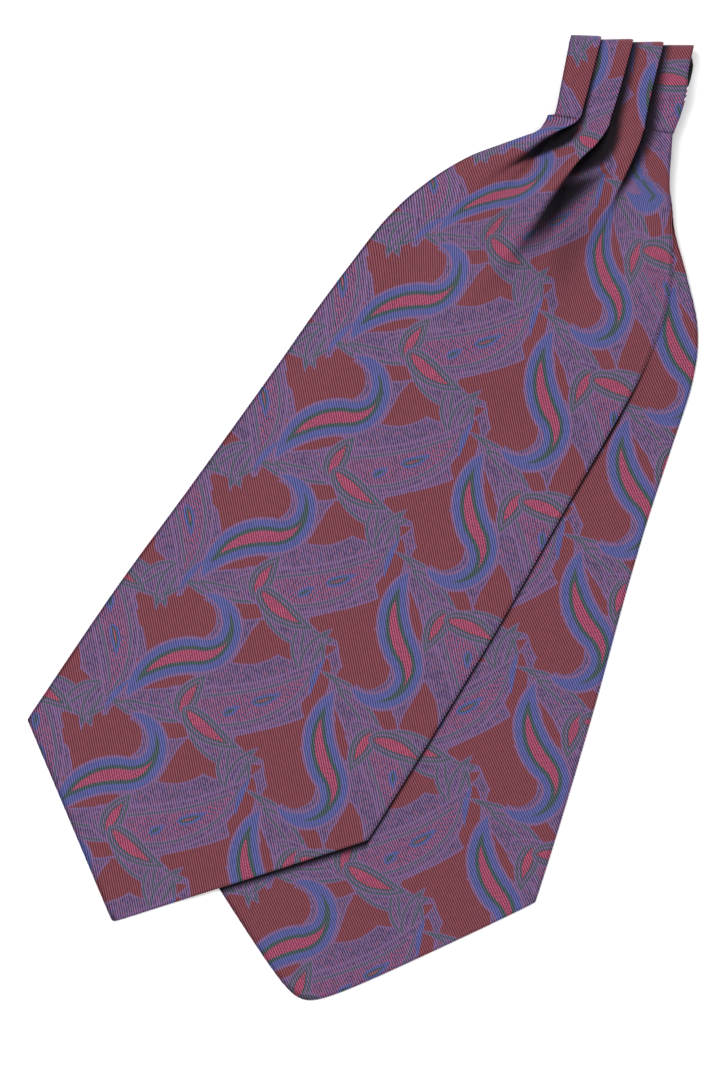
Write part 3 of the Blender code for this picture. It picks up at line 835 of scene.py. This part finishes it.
# One column of the print, from below to above: where each leaf bends, its direction clockwise from across,
# its length and how much of it comes before the bend, its two bends, and its half widths left and right
LEAF_COLUMNS = "across down angle long before bend_1 bend_2 wide_left wide_right profile bands spots".split()
POCKETS = (
    (-14.0, -13.0, 146.0, 42.0, 18.0, 30.0, 60.0, 12.5, 11.5, "drop", "bare", 0),
    (25.0, -24.0, 106.0, 34.0, 16.0, 60.0, 40.0, 9.0, 9.0, "drop", "bare", 0),
    (55.0, 7.0, -50.0, 64.0, 32.0, -70.0, -60.0, 6.0, 9.0, "fin", "bare", 0),
    (-10.0, 27.0, -58.0, 36.0, 18.0, 60.0, 60.0, 5.0, 7.5, "fin", "bare", 0),
    (38.0, 33.0, -14.0, 42.0, 21.0, -30.0, -30.0, 5.0, 7.5, "fin", "bare", 0),
    (-23.0, 24.0, -74.0, 34.0, 17.0, 60.0, 60.0, 6.0, 6.5, "fin", "bare", 0),
    (11.0, -35.0, -30.0, 34.0, 17.0, -40.0, -40.0, 5.0, 6.5, "fin", "bare", 0),
    (0.0, 11.0, -40.0, 32.0, 16.0, 44.0, 44.0, 3.4, 3.4, "stroke", "bare", 0),
)
LEAVES = (
    (-6.0, 32.0, -14.0, 46.0, 22.0, -60.0, -46.0, 3.2, 3.2, "stroke", "stroke", 0),
    (2.0, 19.0, -38.0, 46.0, 23.0, -70.0, -80.0, 4.5, 6.0, "fin", "thin", 0),
    (8.0, 24.0, -30.0, 50.0, 25.0, -50.0, 60.0, 3.6, 4.4, "fin", "stroke", 0),
    (30.0, 27.0, 10.0, 46.0, 22.0, -40.0, -26.0, 6.4, 6.4, "fin", "stroke", 0),
    (41.0, -28.0, -128.0, 32.0, 12.0, 40.0, 22.0, 3.2, 3.2, "stroke", "stroke", 0),
    (46.0, -26.0, -104.0, 34.0, 12.0, 50.0, 30.0, 3.4, 3.4, "stroke", "stroke", 0),
    (50.0, -22.0, -80.0, 32.0, 12.0, -50.0, -30.0, 3.4, 3.4, "stroke", "stroke", 0),
    (34.0, 0.0, -44.0, 80.0, 42.0, -90.0, -60.0, 8.0, 14.0, "fin", "fin", 3),
    (53.0, -24.0, -100.0, 20.0, 10.0, 40.0, 40.0, 1.4, 1.4, "stroke", "edge", 0),
    (40.0, -4.0, -50.0, 15.0, 7.5, -40.0, -40.0, 2.2, 2.6, "drop", "eye", 2),
    (29.0, 9.0, -60.0, 9.0, 4.5, 40.0, 40.0, 2.0, 2.0, "drop", "eye", 2),
    (9.0, 13.0, -88.0, 24.0, 11.0, 60.0, 60.0, 5.8, 5.8, "drop", "seed", 2),
    (26.0, 23.0, 4.0, 34.0, 17.0, -50.0, -50.0, 6.4, 6.4, "drop", "seed", 2),
    (3.0, -4.0, -27.0, 88.0, 42.0, 33.0, -14.0, 8.8, 8.8, "flame", "flame", 2),
)

# The twill: its lines, the finer threads across them, how light a ridge is painted, how much painted shade
# darkens a groove, and how much colourless painted glint is added on the ridges
TWILL_ANGLE = 43.0
TWILL_PITCH = 1.05
THREAD_PITCH = 0.62
TWILL_LIGHT = 0.93
TWILL_DEPTH = 0.68
TWILL_GLINT = 0.036
# The print's edges step from one twill line to the next
PRINT_STEP = 0.4

# The fine speckle of the cloth, and the mottle's dots and patches: their scale, the limits of their textures
# where they show, and how strong they are
GRAIN_SCALE = 420.0
GRAIN_DEPTH = 0.26
DOT_SCALE = 480.0
DOT_SPREAD = 0.55
RED_DOT_WITHIN = 0.30
RED_DOT_STRENGTH = 0.35
INK_DOT_PAST = 0.62
INK_DOT_STRENGTH = 0.4
PATCH_SCALE = 210.0
PATCH_STRENGTH = 0.3
BLUE_PATCH_ABOVE = 0.56
GREEN_PATCH_BELOW = 0.43

# The relief of the cloth, for lines, threads and speckle, with its strength and its depth in metres
RELIEF = (0.7, 0.2, 0.3)
RELIEF_STRENGTH = 0.35
RELIEF_DEPTH = 0.0002

# The reverse of the cloth inside the fold, near-black as painted shade: its fine diagonal lines, their dark
# and light colours, and their relief
REVERSE_SCALE = 420.0
REVERSE_WAVER = 0.4
REVERSE_DARK = (10, 14, 14)
REVERSE_LIGHT = (20, 25, 25)
REVERSE_RELIEF = 0.3

# The white floor: its half width and how far it lies below the part, in metres, and its grey
FLOOR_HALF = 3.0
FLOOR_BELOW = 0.0001
FLOOR_GREY = 0.92


def linear(colour):
    """A 0 to 255 colour as the renderer's own values."""
    values = [c / 255 for c in colour]
    return tuple(v / 12.92 if v <= 0.04045 else ((v + 0.055) / 1.055) ** 2.4 for v in values) + (1.0,)


class Number:
    """A number in a node tree that can be worked with like a plain one."""

    def __init__(self, tree, socket):
        self.tree = tree
        self.socket = socket

    def __add__(self, other):
        return sum_of(self.tree, "ADD", self, other)

    def __sub__(self, other):
        return sum_of(self.tree, "SUBTRACT", self, other)

    def __rsub__(self, other):
        return sum_of(self.tree, "SUBTRACT", other, self)

    def __mul__(self, other):
        return sum_of(self.tree, "MULTIPLY", self, other)

    __radd__ = __add__
    __rmul__ = __mul__


def sum_of(tree, operation, *values):
    """A maths node on numbers of the tree or plain ones."""
    node = tree.nodes.new("ShaderNodeMath")
    node.operation = operation
    for socket, value in zip(node.inputs, values):
        if isinstance(value, Number):
            tree.links.new(value.socket, socket)
        else:
            socket.default_value = value
    return Number(tree, node.outputs[0])


def mix_colour(tree, factor, first, second, blend="MIX"):
    """A mix of two colours, each a socket or a plain colour."""
    node = tree.nodes.new("ShaderNodeMix")
    node.data_type = "RGBA"
    node.blend_type = blend
    for socket, value in ((node.inputs[0], factor), (node.inputs[6], first), (node.inputs[7], second)):
        if isinstance(value, Number):
            tree.links.new(value.socket, socket)
        elif isinstance(value, bpy.types.NodeSocket):
            tree.links.new(value, socket)
        else:
            socket.default_value = value
    return node.outputs[2]


def curve_of(tree, value, points):
    """A value from 0 to 1 taken through a drawn curve."""
    node = tree.nodes.new("ShaderNodeFloatCurve")
    curve = node.mapping.curves[0]
    while len(curve.points) < len(points):
        curve.points.new(0.5, 0.5)
    for point, place in zip(curve.points, points):
        point.location = place
        point.handle_type = "AUTO_CLAMPED"
    node.mapping.update()
    tree.links.new(value.socket, node.inputs["Value"])
    return Number(tree, node.outputs[0])


def ramp_of(tree, value, bands):
    """A colour for a distance, from a table of bands, and how much of it covers the mottle."""
    node = tree.nodes.new("ShaderNodeValToRGB")
    ramp = node.color_ramp
    ramp.interpolation = "CONSTANT"
    while len(ramp.elements) < len(bands):
        ramp.elements.new(0.5)
    for element, (distance, colour) in zip(ramp.elements, bands):
        element.position = distance / BANDS_REACH
        element.color = linear(COLOURS[colour])[:3] + (0.0 if colour == "mottle" else 1.0,)
    tree.links.new((value * (1 / BANDS_REACH)).socket, node.inputs[0])
    return node.outputs[0], Number(tree, node.outputs[1])


def middle_of(row):
    """The middle of a leaf's box, from its bend."""
    angle = math.radians(row["angle"])
    points = []
    for share in np.linspace(0, 1, OUTLINE_POINTS):
        reached = share * row["long"] - row["before"]
        bend = row["bend_2"] if reached > 0 else row["bend_1"]
        turned = reached / abs(bend)
        width = np.interp(share, *zip(*PROFILES[row["profile"]]))
        for wide in (-row["wide_left"] * width, row["wide_right"] * width):
            radius = abs(bend) - math.copysign(1.0, bend) * wide
            along = radius * math.sin(turned)
            away = math.copysign(1.0, bend) * (abs(bend) - radius * math.cos(turned))
            x = along * math.cos(angle) - away * math.sin(angle)
            y = along * math.sin(angle) + away * math.cos(angle)
            points.append((x, y))
    return (np.min(points, axis=0) + np.max(points, axis=0)) / 2


def leaf_shape(tree, across_by, down_by, row):
    """How far inside a leaf's edge and how far along it a place in mm is, and 1 where the leaf lies."""
    middle = middle_of(row)
    x = wrapped(tree, across_by, row["across"] + middle[0], REPEAT_ACROSS) - row["across"]
    y = wrapped(tree, down_by, row["down"] + middle[1], REPEAT_DOWN) - row["down"]
    angle = math.radians(row["angle"])
    along = x * math.cos(angle) + y * math.sin(angle)
    away = y * math.cos(angle) - x * math.sin(angle)
    late = sum_of(tree, "GREATER_THAN", along, 0.0)
    turn_1 = math.copysign(1.0, row["bend_1"])
    turn_2 = math.copysign(1.0, row["bend_2"])
    turn = late * (turn_2 - turn_1) + turn_1
    radius = late * (abs(row["bend_2"]) - abs(row["bend_1"])) + abs(row["bend_1"])
    rest = radius - turn * away
    reached = radius * sum_of(tree, "ARCTAN2", along, rest)
    away = turn * (radius - sum_of(tree, "SQRT", along * along + rest * rest))
    share = (reached + row["before"]) * (1 / row["long"])
    width = curve_of(tree, share, PROFILES[row["profile"]])
    right = sum_of(tree, "GREATER_THAN", away, 0.0)
    half = width * (right * (row["wide_right"] - row["wide_left"]) + row["wide_left"])
    inside = half - sum_of(tree, "ABSOLUTE", away)
    held = sum_of(tree, "GREATER_THAN", inside, LEAF_EDGE) * sum_of(tree, "COMPARE", share, 0.5, 0.499)
    return inside, reached, held


def wrapped(tree, value, middle, repeat):
    """A place on the cloth brought into the repeat around a middle."""
    return sum_of(tree, "WRAP", value, middle + repeat / 2, middle - repeat / 2)


def add_leaf(tree, across_by, down_by, row, under, mottle):
    """Lays one leaf of the print over a colour. across_by and down_by are the place on the cloth, in mm."""
    inside, reached, held = leaf_shape(tree, across_by, down_by, row)
    bands = BANDS[row["bands"]]
    colour, cover = ramp_of(tree, inside, bands)
    if any(band[1] == "mottle" for band in bands):
        colour = mix_colour(tree, cover, mottle, colour)
    if row["spots"]:
        spot, spacing = SPOTS[row["spots"]]
        pitch = 2 * math.pi / spacing
        dot = sum_of(tree, "SINE", reached * pitch) * sum_of(tree, "SINE", inside * pitch)
        deep = sum_of(tree, "GREATER_THAN", inside, bands[-1][0])
        spots = sum_of(tree, "GREATER_THAN", dot, SPOT_EDGE) * deep
        colour = mix_colour(tree, spots * SPOT_STRENGTH, colour, linear(COLOURS[spot]))
    return mix_colour(tree, held, under, colour)


def new_group(name, inputs, outputs):
    """A new node group, from its sockets' names and kinds: its tree, its input node and its output node."""
    tree = bpy.data.node_groups.new(name, "ShaderNodeTree")
    for sockets, way in ((inputs, "INPUT"), (outputs, "OUTPUT")):
        for socket, kind in sockets.items():
            tree.interface.new_socket(socket, in_out=way, socket_type="NodeSocket" + kind)
    return tree, tree.nodes.new("NodeGroupInput"), tree.nodes.new("NodeGroupOutput")


def pocket_group(rows):
    """A node group that says how far inside the open ground a place lies, for one column of the print."""
    places = {"Across": "Float", "Down": "Float"}
    tree, given, result = new_group("print pockets", places, {"Inside": "Float"})
    across_by, down_by = (Number(tree, socket) for socket in given.outputs[:2])
    deepest = 0.0
    for values in rows:
        inside, _, held = leaf_shape(tree, across_by, down_by, dict(zip(LEAF_COLUMNS, values)))
        deepest = sum_of(tree, "MAXIMUM", inside * held, deepest)
    tree.links.new(deepest.socket, result.inputs["Inside"])
    return tree


def leaf_group(rows):
    """A node group that lays one column of leaves over a colour."""
    places = {"Across": "Float", "Down": "Float", "Under": "Color", "Mottle": "Color"}
    tree, given, result = new_group("print leaves", places, {"Colour": "Color"})
    across_by, down_by = (Number(tree, socket) for socket in given.outputs[:2])
    colour = given.outputs["Under"]
    for values in rows:
        row = dict(zip(LEAF_COLUMNS, values))
        colour = add_leaf(tree, across_by, down_by, row, colour, given.outputs["Mottle"])
    tree.links.new(colour, result.inputs["Colour"])
    return tree


def column_node(tree, group, place):
    """A node for one column of the print, given its place on the cloth."""
    node = tree.nodes.new("ShaderNodeGroup")
    node.node_tree = group
    tree.links.new(place[0].socket, node.inputs["Across"])
    tree.links.new(place[1].socket, node.inputs["Down"])
    return node


def texture(tree, kind, place, **values):
    """A texture node on a place, with its inputs set."""
    node = tree.nodes.new(kind)
    tree.links.new(place, node.inputs["Vector"])
    for name, value in values.items():
        node.inputs[name].default_value = value
    return node


def mottle_of(tree, place, line):
    """The mottle between the leaves: violet ridges, dark grooves, and patches and dots of other colours."""
    patch = texture(tree, "ShaderNodeTexNoise", place, Scale=PATCH_SCALE, Detail=1.0)
    dots = texture(tree, "ShaderNodeTexVoronoi", place, Scale=DOT_SCALE, Randomness=DOT_SPREAD)
    patch = Number(tree, patch.outputs["Fac"])
    away = Number(tree, dots.outputs["Distance"])
    bluish = sum_of(tree, "GREATER_THAN", patch, BLUE_PATCH_ABOVE) * PATCH_STRENGTH
    greenish = sum_of(tree, "LESS_THAN", patch, GREEN_PATCH_BELOW) * PATCH_STRENGTH
    near = sum_of(tree, "LESS_THAN", away, RED_DOT_WITHIN) * RED_DOT_STRENGTH
    far = sum_of(tree, "GREATER_THAN", away, INK_DOT_PAST) * INK_DOT_STRENGTH
    dark = mix_colour(tree, bluish, linear(COLOURS["mottle_dark"]), linear(COLOURS["blue"]))
    dark = mix_colour(tree, greenish, dark, linear(COLOURS["green"]))
    mottle = mix_colour(tree, line, linear(COLOURS["mottle"]), dark)
    mottle = mix_colour(tree, near, mottle, linear(COLOURS["red"]))
    return mix_colour(tree, far, mottle, linear(COLOURS["ink"]))


def millimetres(tree, place):
    """(across, down) in millimetres from a place on the cloth in metres."""
    parts = tree.nodes.new("ShaderNodeSeparateXYZ")
    tree.links.new(place, parts.inputs[0])
    return Number(tree, parts.outputs[0]) * 1000, Number(tree, parts.outputs[1]) * 1000


def print_group():
    """A node group with the whole print and its twill: a colour and a height from a place on the cloth."""
    outputs = {"Colour": "Color", "Height": "Float"}
    tree, given, result = new_group("printed twill", {"Place": "Vector"}, outputs)
    place = given.outputs["Place"]
    across_by, down_by = millimetres(tree, place)
    twill = math.radians(TWILL_ANGLE)
    phase = (across_by * math.cos(twill) - down_by * math.sin(twill)) * (2 * math.pi / TWILL_PITCH)
    line = sum_of(tree, "SINE", phase) * 0.5 + 0.5
    jagged = (line - 0.5) * PRINT_STEP
    thread = sum_of(tree, "SINE", (across_by + down_by) * (2 * math.pi / THREAD_PITCH)) * 0.5 + 0.5
    grain = texture(tree, "ShaderNodeTexNoise", place, Scale=GRAIN_SCALE, Detail=2.0)
    grain = Number(tree, grain.outputs["Fac"])
    mottle = mottle_of(tree, place, line)
    columns = (
        (across_by + jagged, down_by + jagged),
        (across_by + jagged - SECOND_COLUMN_ACROSS, SECOND_COLUMN_DOWN - jagged - down_by),
    )
    pockets = pocket_group(POCKETS)
    insides = (Number(tree, column_node(tree, pockets, column).outputs[0]) for column in columns)
    inside = sum_of(tree, "MAXIMUM", *insides)
    bare, _ = ramp_of(tree, inside, BANDS["bare"])
    colour = mix_colour(tree, sum_of(tree, "GREATER_THAN", inside, LEAF_EDGE), mottle, bare)
    leaves = leaf_group(LEAVES)
    for column in columns:
        node = column_node(tree, leaves, column)
        tree.links.new(mottle, node.inputs["Mottle"])
        tree.links.new(colour, node.inputs["Under"])
        colour = node.outputs["Colour"]
    # Painted shade in the twill's grooves and a painted glint on its ridges, with the cloth's own random
    # speckle
    shade = TWILL_LIGHT - line * TWILL_DEPTH + (grain - 0.5) * GRAIN_DEPTH
    glint = TWILL_GLINT - line * TWILL_GLINT
    scaled = tree.nodes.new("ShaderNodeVectorMath")
    scaled.operation = "MULTIPLY_ADD"
    for socket, source in zip(scaled.inputs, (colour, shade.socket, glint.socket)):
        tree.links.new(source, socket)
    tree.links.new(scaled.outputs[0], result.inputs["Colour"])
    height = line * RELIEF[0] + thread * RELIEF[1] + grain * RELIEF[2]
    tree.links.new(height.socket, result.inputs["Height"])
    return tree


def contact_shade(tree, place):
    """How much painted shadow darkens the back piece's cloth beside the front blade's edge, from its place."""
    side, down = millimetres(tree, place)
    between = math.radians(FRONT["lean"] - BACK["lean"])
    front_side = side * math.cos(between) + down * math.sin(between)
    front_down = down * math.cos(between) - side * math.sin(between)
    edge = curve_of(tree, front_down * (1 / FRONT["tip"]), FRONT_EDGE) * 100
    past_edge = front_side - edge
    fall = (FRONT["tip"] - FRONT["right_corner"]) / FRONT_CORNER_SIDE
    level = 1 / math.hypot(1.0, fall)
    past_end = (front_down + front_side * fall - FRONT["tip"]) * level
    past = sum_of(tree, "MAXIMUM", past_edge, past_end * CONTACT_END)
    near = CONTACT_REACH - sum_of(tree, "ABSOLUTE", past)
    shade = sum_of(tree, "MAXIMUM", near * (CONTACT_DEPTH / CONTACT_REACH), 0.0)
    return sum_of(tree, "MINIMUM", shade, CONTACT_MOST)


def new_material(name, roughness):
    """A new material, its node tree and its shader."""
    material = bpy.data.materials.new(name)
    material.use_nodes = True
    shader = material.node_tree.nodes["Principled BSDF"]
    shader.inputs["Roughness"].default_value = roughness
    return material, material.node_tree, shader


def add_relief(tree, shader, height, strength):
    """A relief on a shader, from a socket with its height."""
    bump = tree.nodes.new("ShaderNodeBump")
    bump.inputs["Strength"].default_value = strength
    bump.inputs["Distance"].default_value = RELIEF_DEPTH
    tree.links.new(height, bump.inputs["Height"])
    tree.links.new(bump.outputs[0], shader.inputs["Normal"])


def silk(name, group, shift, under_front=False):
    """Printed silk twill with painted shade and highlights. shift moves the print on the cloth, in mm."""
    material, tree, shader = new_material(name, 0.5)
    place = tree.nodes.new("ShaderNodeUVMap")
    place.uv_map = "Cloth"
    moved = tree.nodes.new("ShaderNodeMapping")
    moved.inputs["Location"].default_value = (shift[0] * MM, shift[1] * MM, 0.0)
    tree.links.new(place.outputs[0], moved.inputs["Vector"])
    node = tree.nodes.new("ShaderNodeGroup")
    node.node_tree = group
    tree.links.new(moved.outputs[0], node.inputs["Place"])
    # The print is multiplied by the painted shade and highlight held on the mesh
    hollow = tree.nodes.new("ShaderNodeVertexColor")
    hollow.layer_name = "PaintedShadeAndLight"
    colour = mix_colour(tree, 1.0, node.outputs["Colour"], hollow.outputs["Color"], "MULTIPLY")
    # Painted shadow beside the front blade's edge, on the upper face only
    if under_front:
        upper = Number(tree, hollow.outputs["Alpha"])
        contact = contact_shade(tree, place.outputs[0]) * upper
        colour = mix_colour(tree, contact, colour, (0.0, 0.0, 0.0, 1.0))
    tree.links.new(colour, shader.inputs["Base Color"])
    add_relief(tree, shader, node.outputs["Height"], RELIEF_STRENGTH)
    shader.inputs["Specular IOR Level"].default_value = 0.08
    shader.inputs["Specular Tint"].default_value = (0.9, 0.78, 1.0, 1.0)
    shader.inputs["Sheen Weight"].default_value = 0.04
    shader.inputs["Sheen Tint"].default_value = (0.9, 0.75, 1.0, 1.0)
    shader.inputs["Sheen Roughness"].default_value = 0.4
    return material


def reverse_in_painted_shade():
    """The reverse of the cloth inside the fold, coloured near-black as painted shade."""
    material, tree, shader = new_material("silk reverse in painted shade", 0.55)
    place = tree.nodes.new("ShaderNodeTexCoord").outputs["Object"]
    wave = texture(tree, "ShaderNodeTexWave", place, Scale=REVERSE_SCALE, Distortion=REVERSE_WAVER)
    wave.wave_type = "BANDS"
    wave.bands_direction = "DIAGONAL"
    line = Number(tree, wave.outputs["Fac"])
    colour = mix_colour(tree, line, linear(REVERSE_DARK), linear(REVERSE_LIGHT))
    tree.links.new(colour, shader.inputs["Base Color"])
    add_relief(tree, shader, line.socket, REVERSE_RELIEF)
    shader.inputs["Specular IOR Level"].default_value = 0.1
    return material


def tuck_ring(left, right, thickness):
    """A ring round the doubled band: round corners, and a groove at each side between its two layers."""
    ring = []
    middle = thickness / 2
    corner = min(TUCK_CORNER, middle - TUCK_GROOVE_HEIGHT)
    for side, out in ((right, 1), (left, -1)):
        edge = [(side - out * TUCK_GROOVE_DEPTH, middle)]
        above = [(side, middle + TUCK_GROOVE_HEIGHT / 2)]
        below = [(side, middle - TUCK_GROOVE_HEIGHT / 2)]
        for turn in range(0, 91, TUCK_CORNER_STEP):
            angle = math.radians(turn)
            reach = corner * (1 - math.cos(angle))
            height = corner * (1 - math.sin(angle))
            above.append((side - out * reach, thickness - height))
            below.append((side - out * reach, height))
        half = list(reversed(above)) + edge + below
        ring += half if out > 0 else list(reversed(half))
    return ring


def add_tuck(name, printed, dark):
    """The tucked part of the neck band: print outside, its upper face the reverse, near-black as painted
    shade.
    """
    rings = []
    start = TUCK_SECTIONS[-1]
    for down in np.linspace(TUCK_SECTIONS[0][0], start[0], TUCK_STEPS + 1):
        row = section_at(TUCK_COLUMNS, TUCK_SECTIONS, float(down))
        rings.append((float(down), tuck_ring(float(row["left"]), float(row["right"]), TUCK_THICKNESS)))
    for step in range(1, TUCK_END_STEPS + 1):
        angle = math.radians(TUCK_END_TURN * step / TUCK_END_STEPS)
        narrow = TUCK_END_NARROWS * (1 - math.cos(angle))
        thickness = TUCK_THICKNESS * (1 - TUCK_END_THINS * (1 - math.cos(angle)))
        ring = tuck_ring(start[1] + narrow, start[2] - narrow, thickness)
        rings.append((start[0] + TUCK_ROUND_END * math.sin(angle), ring))
    points = []
    flat = []
    for down, ring in rings:
        centre = spine(NECK_LEAN, down)
        for side, height in ring:
            x, y = across(centre, NECK_TILT, side)
            points.append((x * MM, y * MM, height * MM))
            flat.append((side * MM, (down + height) * MM))
    mesh = new_mesh(name, points, tube_faces(0, len(rings), len(rings[0][1])))
    cloth_map = mesh.uv_layers.new(name="Cloth")
    for loop in mesh.loops:
        cloth_map.data[loop.index].uv = flat[loop.vertex_index]
    mesh.materials.append(printed)
    mesh.materials.append(dark)
    # The upper faces, inside the fold, take the reverse, painted near-black as shade
    for face in mesh.polygons:
        face.material_index = 1 if face.normal.z > 0.5 else 0
    hollow = mesh.color_attributes.new(name="PaintedShadeAndLight", type="FLOAT_COLOR", domain="POINT")
    hollow.data.foreach_set("color", np.ones(4 * len(mesh.vertices)))
    mesh.shade_smooth()
    return add_piece(name, mesh)


def add_stitches(name, material):
    """The small slip stitches that hold the folded band at its right edge."""
    points = []
    faces = []
    for down, side, long, turn in STITCHES:
        centre = spine(NECK_LEAN, down)
        x, y = across(centre, NECK_TILT, side)
        ahead = math.radians(turn)
        start = len(points)
        for step in range(STITCH_STEPS + 1):
            part = step / STITCH_STEPS
            away = (part - 0.5) * long
            radius = STITCH_RADIUS * math.sqrt(max(STITCH_END, 1 - (2 * part - 1) ** 6))
            height = STITCH_HEIGHT + STITCH_BOW * (1 - (2 * part - 1) ** 2)
            for k in range(STITCH_SIDES):
                angle = 2 * math.pi * k / STITCH_SIDES
                aside = radius * math.cos(angle)
                points.append((
                    (x + away * math.cos(ahead) - aside * math.sin(ahead)) * MM,
                    (y + away * math.sin(ahead) + aside * math.cos(ahead)) * MM,
                    (height + radius * math.sin(angle)) * MM,
                ))
        faces += tube_faces(start, STITCH_STEPS + 1, STITCH_SIDES, turned=True)
    mesh = new_mesh(name, points, faces)
    mesh.materials.append(material)
    mesh.shade_smooth()
    return add_piece(name, mesh)


def thread():
    """Pale sewing thread."""
    material, _, shader = new_material("thread", 0.6)
    shader.inputs["Base Color"].default_value = linear((205, 190, 200))
    return material


def add_floor():
    """A plain white floor."""
    corners = [(x * FLOOR_HALF, y * FLOOR_HALF, 0) for x, y in ((-1, -1), (1, -1), (1, 1), (-1, 1))]
    mesh = new_mesh("floor", corners, [(0, 1, 2, 3)])
    material, _, shader = new_material("floor", 0.9)
    shader.inputs["Base Color"].default_value = (FLOOR_GREY, FLOOR_GREY, FLOOR_GREY, 1.0)
    mesh.materials.append(material)
    floor = add_piece("floor", mesh)
    floor.location = (0, 0, -FLOOR_BELOW)


def add_light(name, place, size, power):
    """A square soft light aimed at the part."""
    light = bpy.data.lights.new(name, "AREA")
    light.size = size
    light.energy = power
    piece = add_piece(name, light)
    piece.location = place
    toward = -np.array(place)
    turn = math.atan2(toward[1], toward[0]) - math.pi / 2
    piece.rotation_euler = (math.acos(-toward[2] / np.linalg.norm(toward)), 0.0, turn)


def add_camera():
    """A camera straight above, with the photograph's frame."""
    camera = bpy.data.cameras.new("camera")
    camera.sensor_fit = "VERTICAL"
    camera.sensor_height = SENSOR
    camera.lens = SENSOR * CAMERA_HEIGHT / (PIXEL * PHOTO_HEIGHT)
    piece = add_piece("camera", camera)
    piece.location = (CAMERA_AT[0] * MM, CAMERA_AT[1] * MM, CAMERA_HEIGHT * MM)
    bpy.context.scene.camera = piece


add_camera()
add_floor()
add_light("key", (-0.7, 0.85, 1.55), 1.1, 22.0)
add_light("fill", (0.9, -0.5, 1.8), 1.6, 3.0)
world = bpy.data.worlds.new("studio")
world.use_nodes = True
world.node_tree.nodes["Background"].inputs[0].default_value = (1.0, 1.0, 1.0, 1.0)
world.node_tree.nodes["Background"].inputs[1].default_value = 1.05
bpy.context.scene.world = world
bpy.context.scene.view_settings.view_transform = "Standard"

printed = print_group()
front_silk = silk("printed silk front", printed, FRONT_SHIFT)
back_silk = silk("printed silk back", printed, BACK_SHIFT, under_front=True)
tuck_silk = silk("printed silk tucked", printed, BACK_SHIFT)
reverse = reverse_in_painted_shade()

grid, fold_rows, straight_rows = front_grid()
cloth = front_cloth(grid, fold_rows, straight_rows)
down_at = on_blade(FRONT["lean"], grid[:, :, 0], grid[:, :, 1])[0]
shell = BAND_CLOTH + (BLADE_CLOTH - BAND_CLOTH) * smooth((down_at - FULLER_FROM) / FULLER_OVER)
shade = front_shade(grid, fold_rows, spaced(FRONT_SPACING))
front = add_shell("front_silk", grid, cloth, shell, front_silk, shade)
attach(front, "root")
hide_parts("front_blade", "neck_band_pleated")

grid = back_grid()
back = add_shell("back_silk", grid, back_cloth(grid), BLADE_CLOTH, back_silk)
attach(back, "root")
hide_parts("back_blade")

tuck = add_tuck("tucked_silk", tuck_silk, reverse)
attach(tuck, "root")
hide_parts("neck_band_tucked")

stitches = add_stitches("slip_stitches", thread())
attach(stitches, "root")
